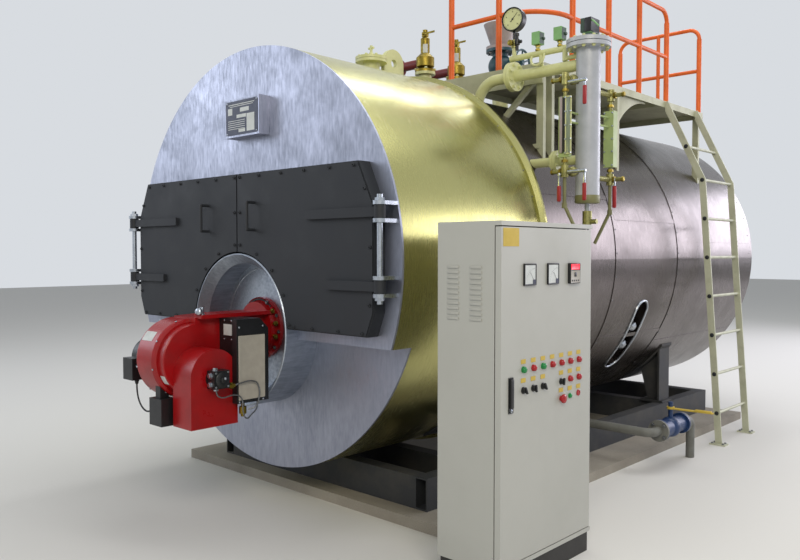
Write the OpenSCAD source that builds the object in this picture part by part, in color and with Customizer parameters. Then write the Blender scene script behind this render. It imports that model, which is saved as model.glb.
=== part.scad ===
// Fire-tube steam boiler on a skid, with its burner, walkway, ladder and control cabinet.
// The shell lies along Y, the smoke-box doors face -Y and the floor is Z = 0.
// The origin is on the floor, under the middle of the shell.

/* [Boiler body] */
// Height of the shell axis above the floor
axis_h = 1420; // [1400:5:1600]
// Length from the smoke-box face to the rear end
body_len = 4740; // [4600:20:5400]
// Outer radius of the polished front cladding
front_r = 1200; // [1190:5:1230]
// Outer radius of the brushed rear cladding
rear_r = 1150; // [1120:5:1170]
// Length of the front cladding
front_len = 1240; // [1180:10:1400]
// Outer radius of the pressure shell
shell_r = 1050; // [1020:5:1070]
// Wall of the pressure shell
shell_wall = 16; // [12:1:24]
// Thickness of the front cladding jacket
jacket_t = 60; // [50:2:70]
// Height of the bead that ends the front cladding
bead_h = 27; // [15:1:40]
// Width of that bead
bead_w = 44; // [30:1:60]

/* [Smoke box] */
// Depth from the smoke-box face to the tube plate
box_depth = 560; // [480:10:640]
// Set-back of the lower front plate
lower_step = 135; // [110:5:180]
// Drop of the smoke-box floor below the shell axis
floor_drop = 420; // [410:5:470]
// Thickness of the smoke-box plates
box_t = 12; // [8:1:16]
// Width of the bolting frame round a door opening
door_frame = 60; // [45:5:80]

/* [Doors] */
// Top edge of the doors above the shell axis
door_top = 486; // [450:2:520]
// Half width of the door pair
door_half = 1086; // [1070:2:1090]
// Cut-back of the upper outer corners, across
door_cut_x = 102; // [60:2:160]
// Cut-back of the upper outer corners, down
door_cut_z = 217; // [120:5:260]
// Bottom edge of the doors below the shell axis
door_bottom = 360; // [340:5:390]
// Thickness of a door
door_t = 80; // [60:2:90]
// Gap between the two doors
door_split = 10; // [10:1:16]
// Gap between a closed door and its frame
door_seat = 0.5; // [0.3:0.1:1]
// Distance of the hinge axis from the door's side edge
hinge_out = 54; // [50:1:60]
// Distance of the hinge axis in front of the door's face
hinge_ahead = 10; // [5:1:20]
// Radius of the hinge rod
hinge_rod_r = 14; // [10:1:16]
// Radius of a hinge knuckle
knuckle_r = 28; // [25:1:32]
// Radial clearance of the hinge rod in its knuckles
hinge_fit = 0.08; // [0.03:0.01:0.1]

/* [Burner mount] */
// Drop of the furnace axis below the shell axis
furnace_drop = 390; // [370:5:400]
// Outer radius of the burner tunnel
tunnel_r = 432; // [420:2:440]
// Inner radius of the burner tunnel
tunnel_bore = 376; // [360:2:390]
// Depth of the tunnel's back plate behind the smoke-box face
tunnel_back = 107; // [90:1:130]
// Radius of the burner flange
flange_r = 178; // [165:1:195]
// Radius of the blast tube
blast_r = 112; // [95:1:125]

/* [Tubes] */
// Outer radius of a smoke tube
tube_r = 35; // [28:1:38]
// Wall of a smoke tube
tube_wall = 4; // [3:0.5:5]
// Distance between smoke tubes
tube_pitch = 108; // [100:2:130]
// Thickness of the tube plates
tube_plate_t = 20; // [14:1:28]
// Inner radius of the furnace tube
furnace_r = 340; // [300:5:360]
// Depth of the furnace corrugations
wave_h = 32; // [20:1:40]

/* [Skid and legs] */
// Height of the concrete plinth
plinth_h = 60; // [40:5:80]
// Height of the skid beams
beam_h = 180; // [160:5:200]
// Flange width of the skid beams
beam_w = 90; // [70:5:110]
// Distance of the long beams from the middle
beam_x = 890; // [850:5:920]
// Distance of the front legs from the smoke-box face
front_leg_y = 900; // [800:10:1000]
// Distance of the rear legs from the smoke-box face
rear_leg_y = 3440; // [3200:10:3700]
// Thickness of the leg plates
leg_t = 16; // [10:1:20]

/* [Walkway] */
// Height of the walkway deck above the shell axis
deck_rise = 1240; // [1225:5:1300]
// Inner edge of the deck from the middle
deck_in = 150; // [120:5:200]
// Outer edge of the deck from the middle
deck_out = 965; // [940:5:1000]
// Start of the deck behind the smoke-box face
deck_start = 1540; // [1530:5:1700]
// Length of the deck
deck_len = 2500; // [2350:10:2700]
// Thickness of the deck plate
deck_t = 5; // [4:1:8]
// Height of the guard rail above the deck
rail_h = 715; // [650:5:1100]
// Outer radius of a guard rail post
post_r = 20; // [16:1:24]
// Outer radius of a guard rail bar
bar_r = 16; // [12:1:18]

/* [Ladder] */
// Distance of the ladder's middle from the smoke-box face
ladder_y = 3593; // [3570:5:3610]
// Width between the outer faces of the ladder's sides
ladder_w = 586; // [560:2:620]
// Distance between rungs
rung_pitch = 298; // [280:2:320]
// Radius of a rung
rung_r = 11; // [8:1:14]
// Distance of the ladder's feet from the middle
ladder_foot_x = 1420; // [1380:5:1460]

/* [Water column] */
// Distance of the water column from the middle
column_x = 1360; // [1350:5:1400]
// Distance of the water column from the smoke-box face
column_y = 1410; // [1390:5:1430]
// Radius of the water column
column_r = 70; // [60:1:80]
// Bottom of the water column above the shell axis
column_low = 370; // [350:5:385]
// Length of the water column
column_len = 878; // [870:2:890]
// Radius of the column's flanges
column_flange_r = 127; // [118:1:132]
// Radius of the steam leg
link_r = 34; // [30:1:38]

/* [Burner] */
// Radius of the fan volute
volute_r = 215; // [205:1:220]
// Distance of the volute's left side from the middle
volute_left = 150; // [130:2:170]
// Distance of the fan axis in front of the smoke-box face
fan_y = 410; // [405:1:420]
// Drop of the fan axis below the shell axis
fan_drop = 520; // [515:1:525]
// Radius of the fan motor
motor_r = 95; // [80:1:105]
// Length of the fan motor
motor_len = 250; // [220:5:300]
// Width of the air intake along the fan axis
intake_t = 170; // [140:2:180]
// Half the intake's front width
intake_half = 140; // [130:1:142]

/* [Control cabinet] */
// Distance of the cabinet's back from the middle
cabinet_x = 1425; // [1415:5:1480]
// Distance of the cabinet's near side behind the smoke-box face
cabinet_y = -10; // [-40:5:20]
// Depth of the cabinet
cabinet_d = 346; // [330:2:370]
// Width of the cabinet
cabinet_w = 750; // [730:2:780]
// Height of the cabinet
cabinet_h = 1500; // [1400:5:1600]
// Height of the cabinet's base
cabinet_base = 100; // [60:5:120]
// Sheet thickness of the cabinet
sheet_t = 3; // [2:0.5:5]
// Thickness of the cabinet door
panel_t = 30; // [24:1:34]

/* [Hidden] */
// Gap between two seated pieces of one body
seat = 0.3;
// Facets of large, middle and small round forms
fn_big = 160;
fn_mid = 64;
fn_small = 32;
front_y = -body_len / 2;
box_r = front_r - jacket_t;
beam_top = plinth_h + beam_h;
hinge_x = door_half + hinge_out;
hinge_y = door_t + hinge_ahead;
upper_arm_z = 236;
lower_arm_z = -114;
arm_h = 62;
lug_t = 18;
tunnel_gap = 8;
tube_len = 3500;
deck_z = axis_h + deck_rise;
deck_end = deck_start + deck_len;
edge_h = 50;
end_t = 40;
hand_y = 2665;
hand_angle = 30;
hand_len = 600;
hand_half = 95;
column_top = column_low + column_len;
column_flange_t = 22;
jacket_start = box_t + seat;
seam_h = 4;
seam_at = [2160, 3140];
flue_z = 520;
flue_r = 230;
flue_wall = 8;
up_pipe_z = 1142;
low_pipe_z = 590;
head_z = 1255;
head_r = 18;
dial_x = 841;
switch_x = [1015, 1169];
switch_z = 1308;
cock_low = 1320;
cock_high = 1368;
left_gauge = [-55, -160, 590, 935];
right_gauge = [37, 200, 553, 885];
drain_cock_low = 208;
drain_cock_high = 287;
float_z = column_top + 62;
safety_at = [1526, 1874];
safety_z = 1318;
safety_flange_r = 72;
bulge_r = 64;
steam_at = 2427;
steam_z = 1386;
steam_flange_r = 112;
steam_top = 1644;
blow_x = 1405;
blow_y = 2190;
blow_r = 30;
blow_bend = 60;
blow_flange_r = 72;
blow_flange_t = 18;
out_z = -1146;
valve_a = 116;
valve_b = 456;
stem_r = 16;
lever_z = 122;
neck_right = 88;
box_top = -303;
burner_ring_t = 22;
cap_t = 20;
cap_gap = 5;
cabinet_pin_r = 5;
cabinet_pin_len = 20;
steel_grey = [0.62, 0.64, 0.66];
sheet_grey = [0.72, 0.74, 0.75];
burner_red = [0.72, 0.07, 0.06];
orange = [0.90, 0.36, 0.08];
black = [0.10, 0.11, 0.12];

// Places its children on the shell axis, d behind the smoke-box face
module along(d) {
    translate([0, front_y + d, axis_h]) children();
}

// Places its children on the floor, d behind the smoke-box face
module on_floor(d) {
    translate([0, front_y + d, 0]) children();
}

// Turns a profile of radius and distance about an axis along Y
module turned_y(fn) {
    rotate([-90, 0, 0]) rotate_extrude($fn = fn) children();
}

// A round bar along X
module rod_x(r, len, fn) {
    rotate([0, 90, 0]) cylinder(r = r, h = len, $fn = fn);
}

// A round bar along Y
module rod_y(r, len, fn) {
    rotate([-90, 0, 0]) cylinder(r = r, h = len, $fn = fn);
}

// A pipe length or ring along Z
module ring(r_out, r_in, h, fn) {
    difference() {
        cylinder(r = r_out, h = h, $fn = fn);
        translate([0, 0, -1]) cylinder(r = r_in, h = h + 2, $fn = fn);
    }
}

// A plate of thickness t whose outline lies in the XZ plane
module plate_xz(t) {
    translate([0, t, 0]) rotate([90, 0, 0]) linear_extrude(t) children();
}

// A plate of thickness t whose outline lies in the YZ plane
module plate_yz(t) {
    rotate([90, 0, 90]) linear_extrude(t) children();
}

// A quarter bend that leads from +Z into +X with centre-line radius r
module bend(r, pipe_r) {
    translate([r, 0, 0]) rotate([90, 0, 0]) rotate([0, 0, 90])
        rotate_extrude(angle = 90, $fn = fn_mid) translate([r, 0]) circle(r = pipe_r, $fn = fn_small);
}

// Outline of a strip of width w that follows the points of a path with one bend
function unit(v) = v / norm(v);
function side_of(v) = [-v[1], v[0]];
function mitre(p, i) = let(a = unit(p[i] - p[i - 1]), b = unit(p[i + 1] - p[i]), m = unit(side_of(a) + side_of(b)))
    m / (m * side_of(a));
function edge(p, w, i) = i == 0 ? p[0] + side_of(unit(p[1] - p[0])) * w
    : i == len(p) - 1 ? p[i] + side_of(unit(p[i] - p[i - 1])) * w
    : p[i] + mitre(p, i) * w;
function strip(p, w) = concat(
    [for (i = [0 : len(p) - 1]) edge(p, w / 2, i)],
    [for (i = [len(p) - 1 : -1 : 0]) edge(p, -w / 2, i)]);

// Concrete plinth under the skid
module plinth() {
    plinth_half = front_r;
    color([0.66, 0.64, 0.60]) on_floor(360)
        translate([-plinth_half, 0, 0]) cube([2 * plinth_half, body_len - 720, plinth_h]);
}

// Cross-section of a channel beam that opens toward +X, standing on Z = 0
module channel_outline(w, h, t) {
    difference() {
        square([w, h]);
        translate([t, t]) square([w, h - 2 * t]);
    }
}

// Skid of two long channels tied by cross channels that are cut to clear the shell
module skid() {
    skid_start = 480;
    skid_len = body_len - 2 * skid_start;
    web = 9;
    color(steel_grey) difference() {
        on_floor(0) translate([0, 0, plinth_h]) {
            for (side = [-1, 1]) {
                translate([side * beam_x, skid_start + skid_len, 0]) scale([side, 1, 1])
                    translate([beam_w / 2, 0, 0]) mirror([1, 0, 0])
                    rotate([90, 0, 0]) linear_extrude(skid_len) channel_outline(beam_w, beam_h, web);
            }
            for (y = [skid_start, front_leg_y, rear_leg_y, skid_start + skid_len - beam_w])
                translate([-beam_x + beam_w / 2 - web, y, 0])
                    cube([2 * beam_x - beam_w + 2 * web, beam_w, beam_h]);
        }
        along(0) rod_y(front_r + seat, front_len + bead_w, fn_big);
    }
}

// A pair of gusset legs with a saddle pad, at distance d from the face, under cladding of radius r
module leg_pair(d, r) {
    foot_z = beam_top - axis_h;
    leg_out = 895;
    leg_in_top = 610;
    leg_top = -600;
    leg_in_low = 760;
    pad_t = 12;
    leg_w = 180;
    along(d) for (side = [-1, 1]) scale([side, 1, 1]) difference() {
        union() {
            plate_xz(leg_t) polygon([
                [leg_in_low, foot_z], [leg_out, foot_z], [leg_out, leg_top], [leg_in_top, leg_top]]);
            translate([leg_out - leg_t, leg_t / 2 - leg_w / 2, foot_z])
                cube([leg_t, leg_w, leg_top - foot_z]);
            translate([leg_in_low - 30, leg_t / 2 - leg_w / 2, foot_z])
                cube([leg_out - leg_in_low + 60, leg_w, leg_t]);
            translate([0, leg_t / 2 - leg_w / 2, 0]) intersection() {
                rod_y(r + pad_t, leg_w, fn_big);
                translate([leg_in_top - 40, -1, -r - 50]) cube([leg_out - leg_in_top + 60, leg_w + 2, r]);
            }
        }
        translate([0, -leg_w, 0]) rod_y(r + seat, 2 * leg_w, fn_big);
    }
}

module front_legs() {
    color(steel_grey) leg_pair(front_leg_y + beam_w / 2, front_r);
}

module rear_legs() {
    color(steel_grey) leg_pair(rear_leg_y + beam_w / 2, rear_r);
}

// Pressure shell between the two end plates
module shell() {
    color("dimgray") along(box_depth + tube_plate_t)
        rotate([-90, 0, 0]) ring(shell_r, shell_r - shell_wall, tube_len - 2 * tube_plate_t, fn_big);
}

// Centres of the smoke tubes: rows above and beside the furnace
tube_row = tube_pitch * sin(60);
collar_r = tunnel_r + door_frame;
tube_spots = [for (j = [-4 : 4], i = [-9 : 9])
    let(x = (i + (j % 2 == 0 ? 0 : 0.5)) * tube_pitch, z = 60 + j * tube_row)
    if (norm([x, z]) < shell_r - 110 && norm([x, z + furnace_drop]) > collar_r + tube_r + 12
        && z < door_top - 70 && z > -door_bottom + 80) [x, z]];

// Tube plate with its holes and the furnace mouth
module tube_plate(r) {
    difference() {
        rod_y(r, tube_plate_t, fn_big);
        for (p = tube_spots) translate([p[0], -1, p[1]]) rod_y(tube_r + seat, tube_plate_t + 2, fn_small);
        translate([0, -1, -furnace_drop]) rod_y(furnace_r, tube_plate_t + 2, fn_big);
    }
}

module front_tube_plate() {
    color("gray") along(box_depth) tube_plate(box_r);
}

module rear_tube_plate() {
    color("gray") along(box_depth + tube_len - tube_plate_t) difference() {
        rod_y(shell_r, tube_plate_t, fn_big);
        for (p = tube_spots) translate([p[0], -1, p[1]]) rod_y(tube_r + seat, tube_plate_t + 2, fn_small);
    }
}

// Smoke tubes, which stand a little proud of both plates
module smoke_tubes() {
    tube_proud = 6;
    color("dimgray") along(box_depth - tube_proud) for (p = tube_spots) translate([p[0], 0, p[1]])
        rotate([-90, 0, 0]) ring(tube_r, tube_r - tube_wall, tube_len + 2 * tube_proud, fn_small);
}

// Corrugated furnace tube with a closed far end
module furnace() {
    furnace_len = 2600;
    wave_count = 12;
    wave_steps = 8;
    wall = 14;
    end_len = 80;
    wave_len = (furnace_len - 2 * end_len) / wave_count;
    crest = [for (k = [0 : wave_count * wave_steps])
        [furnace_r + wave_h / 2 * (1 - cos(360 * k / wave_steps)), end_len + wave_len * k / wave_steps]];
    color("dimgray") along(box_depth + tube_plate_t + seat) translate([0, 0, -furnace_drop]) turned_y(fn_mid)
        polygon(concat(
            [[0, furnace_len + wall], [0, furnace_len], [furnace_r, furnace_len]],
            [for (k = [len(crest) - 1 : -1 : 0]) crest[k]],
            [[furnace_r, 0], [furnace_r + wall, 0]],
            [for (p = crest) [p[0] + wall, p[1]]],
            [[furnace_r + wall, furnace_len + wall]]));
}

// Outline of the smoke box: a circle cut off at its floor
module box_outline(r, drop) {
    intersection() {
        circle(r = r, $fn = fn_big);
        translate([-r, -drop]) square([2 * r, r + drop]);
    }
}

// Outline of the pair of doors, grown by g and without the tunnel arch
module doors_outline(g) {
    polygon([
        [-door_half + door_cut_x - g, door_top + g], [door_half - door_cut_x + g, door_top + g],
        [door_half + g, door_top - door_cut_z], [door_half + g, -door_bottom + 120],
        [door_half - 46 + g, -door_bottom - g], [-door_half + 46 - g, -door_bottom - g],
        [-door_half - g, -door_bottom + 120], [-door_half - g, door_top - door_cut_z]]);
}

// Smoke box with its front plate, two openings and the mullion between them
module smoke_box() {
    mullion = 90;
    color(sheet_grey) along(0) difference() {
        union() {
            plate_xz(box_t) box_outline(front_r, floor_drop);
            plate_xz(box_depth) box_outline(box_r, floor_drop);
        }
        translate([0, box_t, 0]) plate_xz(box_depth) box_outline(box_r - box_t, floor_drop - box_t);
        translate([0, -1, 0]) plate_xz(box_t + 2) difference() {
            doors_outline(-door_frame);
            translate([-mullion / 2, -front_r]) square([mullion, 2 * front_r]);
            translate([0, -furnace_drop]) circle(r = collar_r, $fn = fn_big);
        }
        translate([0, -1, -furnace_drop]) rod_y(tunnel_r + seat, box_depth + 2, fn_big);
    }
}

// Raised plate on the smoke box: a folded sheet box, open behind, with a shallow face
module raised_plate() {
    plate = [318, 70, 214];
    plate_left = -120;
    plate_low = 695;
    fold_t = 3;
    face_edge = 8;
    face_deep = 1.5;
    color(sheet_grey) along(0) translate([plate_left, -plate[1] - seat, plate_low]) difference() {
        cube(plate);
        translate([fold_t, fold_t, fold_t])
            cube([plate[0] - 2 * fold_t, plate[1], plate[2] - 2 * fold_t]);
        translate([face_edge, -1, face_edge])
            cube([plate[0] - 2 * face_edge, face_deep + 1, plate[2] - 2 * face_edge]);
    }
}

// Lower front plate, set back under the smoke box
module lower_front() {
    color(sheet_grey) along(lower_step) difference() {
        plate_xz(box_t) difference() {
            circle(r = front_r, $fn = fn_big);
            translate([-front_r, -floor_drop - seat]) square([2 * front_r, 2 * front_r]);
        }
        translate([0, -1, -furnace_drop]) rod_y(tunnel_r + seat, box_t + 2, fn_big);
    }
}

// Turned burner tunnel with a flared mouth and the burner's back plate
module burner_tunnel() {
    flare = 55;
    lip = 4;
    back_t = 20;
    wall = tunnel_r - tunnel_bore - 8;
    color([0.78, 0.80, 0.82]) along(0) translate([0, 0, -furnace_drop]) turned_y(fn_big) polygon([
        [tunnel_r - lip, -door_t], [tunnel_r, -door_t + lip], [tunnel_r, box_depth - seat],
        [tunnel_r - wall, box_depth - seat], [tunnel_r - wall, tunnel_back + back_t],
        [blast_r + seat, tunnel_back + back_t], [blast_r + seat, tunnel_back],
        [tunnel_bore, tunnel_back], [tunnel_bore, -door_t + flare],
        [tunnel_r - 2 * lip, -door_t]]);
}

// Polished front cladding behind the front plates: jacket, cut back under the smoke box, with its end bead
module front_cladding() {
    color([0.80, 0.80, 0.76]) along(0) difference() {
        turned_y(fn_big) polygon([
            [box_r + seat, jacket_start], [front_r, jacket_start], [front_r, front_len - bead_w],
            [front_r + bead_h, front_len - bead_w * 0.7], [front_r + bead_h, front_len - bead_w * 0.3],
            [front_r, front_len], [box_r + seat, front_len]]);
        translate([-2 * front_r, 0, -2 * front_r - floor_drop])
            cube([4 * front_r, lower_step + jacket_start, 2 * front_r]);
    }
}

// Brushed rear cladding with two raised seams
module rear_cladding() {
    seam_w = 30;
    rear_len = body_len - front_len - end_t;
    color([0.70, 0.71, 0.70]) difference() {
        along(front_len + seat) turned_y(fn_big) polygon(concat(
            [[shell_r + seat, 0], [rear_r, 0]],
            [for (y = seam_at) let(s = y - front_len) each [
                [rear_r, s], [rear_r + seam_h, s], [rear_r + seam_h, s + seam_w], [rear_r, s + seam_w]]],
            [[rear_r, rear_len - 2 * seat], [shell_r + seat, rear_len - 2 * seat]]));
        handhole_pocket(0, 2 * (rear_r - shell_r));
    }
}

// Long round outline of the handhole, shrunk by g, its long axis round the shell
module handhole_outline(g) {
    centres = hand_len / 2 - hand_half;
    for (s = [-1, 1]) translate([s * centres, 0]) circle(r = hand_half - g, $fn = fn_mid);
    translate([-centres, -hand_half + g]) square([2 * centres, 2 * (hand_half - g)]);
}

// The outline shrunk by g and drawn out from inside the shell to a height h above it
module handhole_pocket(g, h) {
    sunk = 60;
    along(hand_y) rotate([0, hand_angle, 0]) translate([shell_r - sunk, 0, 0])
        rotate([0, 90, 0]) linear_extrude(sunk + h) handhole_outline(g);
}

// Rear end cover with a flue opening and a round inspection cover
module rear_end() {
    cover_r = 330;
    bolt_circle = 290;
    color([0.66, 0.67, 0.66]) along(body_len - end_t) difference() {
        union() {
            rod_y(rear_r, end_t, fn_big);
            translate([0, 0, -furnace_drop]) rod_y(cover_r, end_t + 30, fn_big);
            for (a = [0 : 30 : 330]) translate([bolt_circle * cos(a), 0, -furnace_drop + bolt_circle * sin(a)])
                rod_y(16, end_t + 42, 6);
        }
        translate([0, -1, flue_z]) rod_y(flue_r + flue_wall, end_t + 2, fn_big);
    }
}

// Round flue outlet with its flange
module flue_outlet() {
    flue_len = 160;
    flue_flange = 60;
    flange_t = 14;
    hole_r = 9;
    holes = 12;
    bolt_out = 36;
    color(steel_grey) along(body_len + seat) translate([0, 0, flue_z]) rotate([-90, 0, 0]) difference() {
        union() {
            cylinder(r = flue_r + flue_wall, h = flue_len, $fn = fn_big);
            translate([0, 0, flue_len - flange_t]) cylinder(r = flue_r + flue_flange, h = flange_t, $fn = fn_big);
        }
        translate([0, 0, -1]) cylinder(r = flue_r, h = flue_len + 2, $fn = fn_big);
        for (k = [0 : holes - 1]) rotate([0, 0, 360 * k / holes])
            translate([flue_r + bolt_out, 0, flue_len - flange_t - 1])
            cylinder(r = hole_r, h = flange_t + 2, $fn = fn_small);
    }
}

// A smoke-box door with its hinge straps, knuckles and pull handle, drawn for the right side
module door(handle_x) {
    arm_t = 20;
    arm_in = 8;
    arms = [[upper_arm_z, 612], [lower_arm_z, 764]];
    edge_bevel = 6;
    handle_z = 245;
    difference() {
        union() {
            for (k = [0, 1]) translate([0, k == 0 ? -door_t : -door_t + edge_bevel, 0])
                plate_xz(k == 0 ? edge_bevel + 1 : door_t - edge_bevel - door_seat) difference() {
                    doors_outline(k == 0 ? -edge_bevel : 0);
                    translate([-2 * front_r, -front_r]) square([2 * front_r + door_split / 2, 2 * front_r]);
                    translate([0, -furnace_drop]) circle(r = tunnel_r + tunnel_gap, $fn = fn_big);
                }
            for (a = arms) {
                translate([a[1], -door_t - arm_t, a[0] - arm_h / 2 + arm_in])
                    cube([hinge_x - a[1], arm_t + 2, arm_h - 2 * arm_in]);
                translate([hinge_x, -hinge_y, a[0] - arm_h / 2]) cylinder(r = knuckle_r, h = arm_h, $fn = fn_mid);
            }
            translate([handle_x, -door_t, handle_z]) pull_handle();
        }
        for (a = arms) translate([hinge_x, -hinge_y, a[0] - arm_h])
            cylinder(r = hinge_rod_r + hinge_fit, h = 2 * arm_h, $fn = fn_mid);
    }
}

// Bent bar handle that stands on the door's face
module pull_handle() {
    grip_r = 8;
    grip_len = 150;
    reach = 50;
    for (s = [-1, 1]) translate([0, 0, s * grip_len / 2]) {
        translate([0, -reach, 0]) rod_y(grip_r, reach + 2, fn_small);
        translate([0, -reach, 0]) sphere(r = grip_r, $fn = fn_small);
    }
    translate([0, -reach, -grip_len / 2]) cylinder(r = grip_r, h = grip_len, $fn = fn_small);
}

module door_right() {
    color([0.16, 0.18, 0.21]) along(0) door(163);
}

module door_left() {
    color([0.16, 0.18, 0.21]) along(0) mirror([1, 0, 0]) door(285);
}

// Lugs on the smoke box, the long hinge rods through them and their nuts
module door_hinges() {
    lug_r = 34;
    lug_gap = 1.5;
    rod_over = 30;
    nut_r = 24;
    nut_t = 14;
    top_z = upper_arm_z + arm_h / 2 + lug_gap + lug_t;
    low_z = lower_arm_z - arm_h / 2 - lug_gap - lug_t;
    color([0.80, 0.81, 0.83]) along(0) for (side = [-1, 1]) scale([side, 1, 1]) translate([hinge_x, 0, 0]) {
        for (z = [upper_arm_z, lower_arm_z], s = [-1, 1])
            translate([0, 0, z + s * (arm_h / 2 + lug_gap + lug_t / 2) - lug_t / 2]) {
                translate([0, -hinge_y, 0]) cylinder(r = lug_r, h = lug_t, $fn = fn_mid);
                translate([-lug_r, -hinge_y, 0]) cube([2 * lug_r, hinge_y - seat, lug_t]);
            }
        translate([0, -hinge_y, low_z - rod_over])
            cylinder(r = hinge_rod_r, h = top_z - low_z + 2 * rod_over, $fn = fn_mid);
        translate([0, -hinge_y, low_z - nut_t]) cylinder(r = nut_r, h = nut_t, $fn = 6);
        translate([0, -hinge_y, top_z]) cylinder(r = nut_r, h = nut_t, $fn = 6);
    }
}

// Walkway: deck plate with edge angles and the deep front channel cut to the shell
module walkway_deck() {
    front_beam = 130;
    color([0.62, 0.65, 0.60]) on_floor(deck_start) {
        translate([deck_in, 0, deck_z - deck_t]) cube([deck_out - deck_in, deck_len, deck_t]);
        for (x = [deck_in, deck_out - 6]) translate([x, 0, deck_z - edge_h]) cube([6, deck_len, edge_h - deck_t]);
        for (y = [deck_len / 3, deck_len * 2 / 3, deck_len - 6])
            translate([deck_in, y, deck_z - edge_h]) cube([deck_out - deck_in, 6, edge_h - deck_t]);
        difference() {
            translate([deck_in, 0, deck_z - front_beam]) cube([deck_out - deck_in, 8, front_beam - deck_t]);
            translate([0, -1, axis_h]) rod_y(rear_r + seat, 10, fn_big);
        }
    }
}

// Posts on the shell, the front strut and shoe, and the curved gusset under the outer edge
module walkway_supports() {
    leg = 50;
    leg_d = 30;
    leg_foot = 500;
    edge_t = 6;
    under = deck_rise - edge_h - seat;
    leg_x = deck_out - edge_t - leg - seat;
    leg_at = [20, 120, 990, deck_len - 80];
    strut_w = 32;
    strut = [[640, 915], [leg_x + 9, under - 18]];
    shoe = [90, 50, 30];
    shoe_z = 705;
    gusset_t = 10;
    gusset_len = 450;
    gusset_h = 220;
    gusset_r = 560;
    color([0.62, 0.65, 0.60]) difference() {
        union() {
            for (y = leg_at) along(deck_start + y) translate([leg_x, 0, leg_foot])
                cube([leg, leg_d, under - leg_foot]);
            along(deck_start + leg_at[0]) {
                plate_xz(leg_d) polygon(strip(strut, strut_w));
                translate([leg_x + leg / 2 - shoe[0], (leg_d - shoe[1]) / 2, shoe_z]) cube(shoe);
            }
            along(deck_start + leg_at[2] + leg_d - 1) translate([leg_x + (leg - gusset_t) / 2, 0, under])
                plate_yz(gusset_t) difference() {
                    translate([0, -gusset_h]) square([gusset_len, gusset_h]);
                    translate([gusset_len, -gusset_r - gusset_t]) circle(r = gusset_r, $fn = fn_big);
                }
        }
        along(deck_start - 100) rod_y(rear_r + seat, deck_len + 200, fn_big);
    }
}

// Quarter arc of pipe in a level plane, from +X into +Y about the origin
module level_arc(r, pipe_r, from) {
    rotate([0, 0, from])
        rotate_extrude(angle = 90, $fn = fn_mid) translate([r, 0]) circle(r = pipe_r, $fn = fn_small);
}

// Quarter arc of pipe in the YZ plane
module upright_arc(r, pipe_r, from) {
    rotate([90, 0, 90]) rotate([0, 0, from])
        rotate_extrude(angle = 90, $fn = fn_mid) translate([r, 0]) circle(r = pipe_r, $fn = fn_small);
}

// Guard rails: front and outer side with a round corner, and the hoop at the rear end
module guard_rails() {
    corner_r = 300;
    end_r = 90;
    rail_x = deck_out - 24;
    front_post_x = deck_in + 60;
    mid = rail_h / 2;
    end_y = 1800;
    posts_side = [370, 860, 1330];
    color(orange) on_floor(deck_start + 24) translate([0, 0, deck_z + seat]) {
        for (x = [front_post_x, rail_x - corner_r - 30]) translate([x, 0, 0])
            cylinder(r = post_r, h = rail_h, $fn = fn_small);
        for (y = posts_side) translate([rail_x, y, 0]) cylinder(r = post_r, h = rail_h, $fn = fn_small);
        translate([rail_x, end_y, 0]) cylinder(r = post_r, h = rail_h - end_r, $fn = fn_small);
        for (z = [mid, rail_h]) translate([0, 0, z]) {
            translate([front_post_x, 0, 0]) rod_x(bar_r, rail_x - corner_r - front_post_x, fn_small);
            translate([rail_x - corner_r, corner_r, 0]) level_arc(corner_r, bar_r, -90);
            translate([rail_x, corner_r, 0]) rod_y(bar_r, end_y - corner_r - (z == rail_h ? end_r : 0), fn_small);
        }
        translate([rail_x, end_y - end_r, rail_h - end_r]) upright_arc(end_r, bar_r, 0);
        translate([0, deck_len - 60, 0]) {
            for (x = [front_post_x, rail_x]) translate([x, 0, 0])
                cylinder(r = post_r, h = rail_h - end_r, $fn = fn_small);
            translate([(front_post_x + rail_x) / 2, 0, 0]) cylinder(r = bar_r, h = rail_h, $fn = fn_small);
            for (s = [0, 1]) translate([s == 0 ? front_post_x + end_r : rail_x - end_r, 0, rail_h - end_r])
                rotate([0, 0, s == 0 ? 90 : -90]) upright_arc(end_r, bar_r, 0);
            translate([front_post_x + end_r, 0, rail_h]) rod_x(bar_r, rail_x - front_post_x - 2 * end_r, fn_small);
            translate([front_post_x, 0, mid]) rod_x(bar_r, rail_x - front_post_x, fn_small);
        }
    }
}

// Ladder to the walkway: two bent flat sides, rungs and foot plates
module ladder() {
    side_w = 50;
    side_t = 12;
    foot_t = 10;
    bend_z = 2020;
    bend_x = 1268;
    first_rung = 230;
    lean_in = 268;
    lean_up = 550;
    past = 200;
    top_slope = lean_in / lean_up;
    top_z = deck_z - 10;
    top_x = bend_x - (top_z - bend_z) * top_slope;
    path = [[ladder_foot_x, foot_t], [bend_x, bend_z], [top_x, top_z]];
    low_len = norm(path[1] - path[0]);
    rung_at = function(s) s < low_len ? path[0] + unit(path[1] - path[0]) * s
        : path[1] + unit(path[2] - path[1]) * (s - low_len);
    color([0.58, 0.58, 0.54]) on_floor(ladder_y - ladder_w / 2) difference() {
        union() {
            for (y = [0, ladder_w - side_t]) translate([0, y, 0]) {
                plate_xz(side_t) polygon(strip(path, side_w));
                translate([ladder_foot_x - 60, -30, 0]) cube([120, side_t + 60, foot_t]);
            }
            for (k = [0 : 7]) {
                spot = rung_at(first_rung + k * rung_pitch);
                translate([spot[0], side_t / 2, spot[1]]) rod_y(rung_r, ladder_w - side_t, fn_small);
            }
        }
        translate([0, -past / 2, deck_z - past]) cube([deck_out + seat, ladder_w + past, 2 * past]);
        translate([0, -past / 2, deck_z]) cube([2 * deck_out, ladder_w + past, past]);
    }
}

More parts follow.
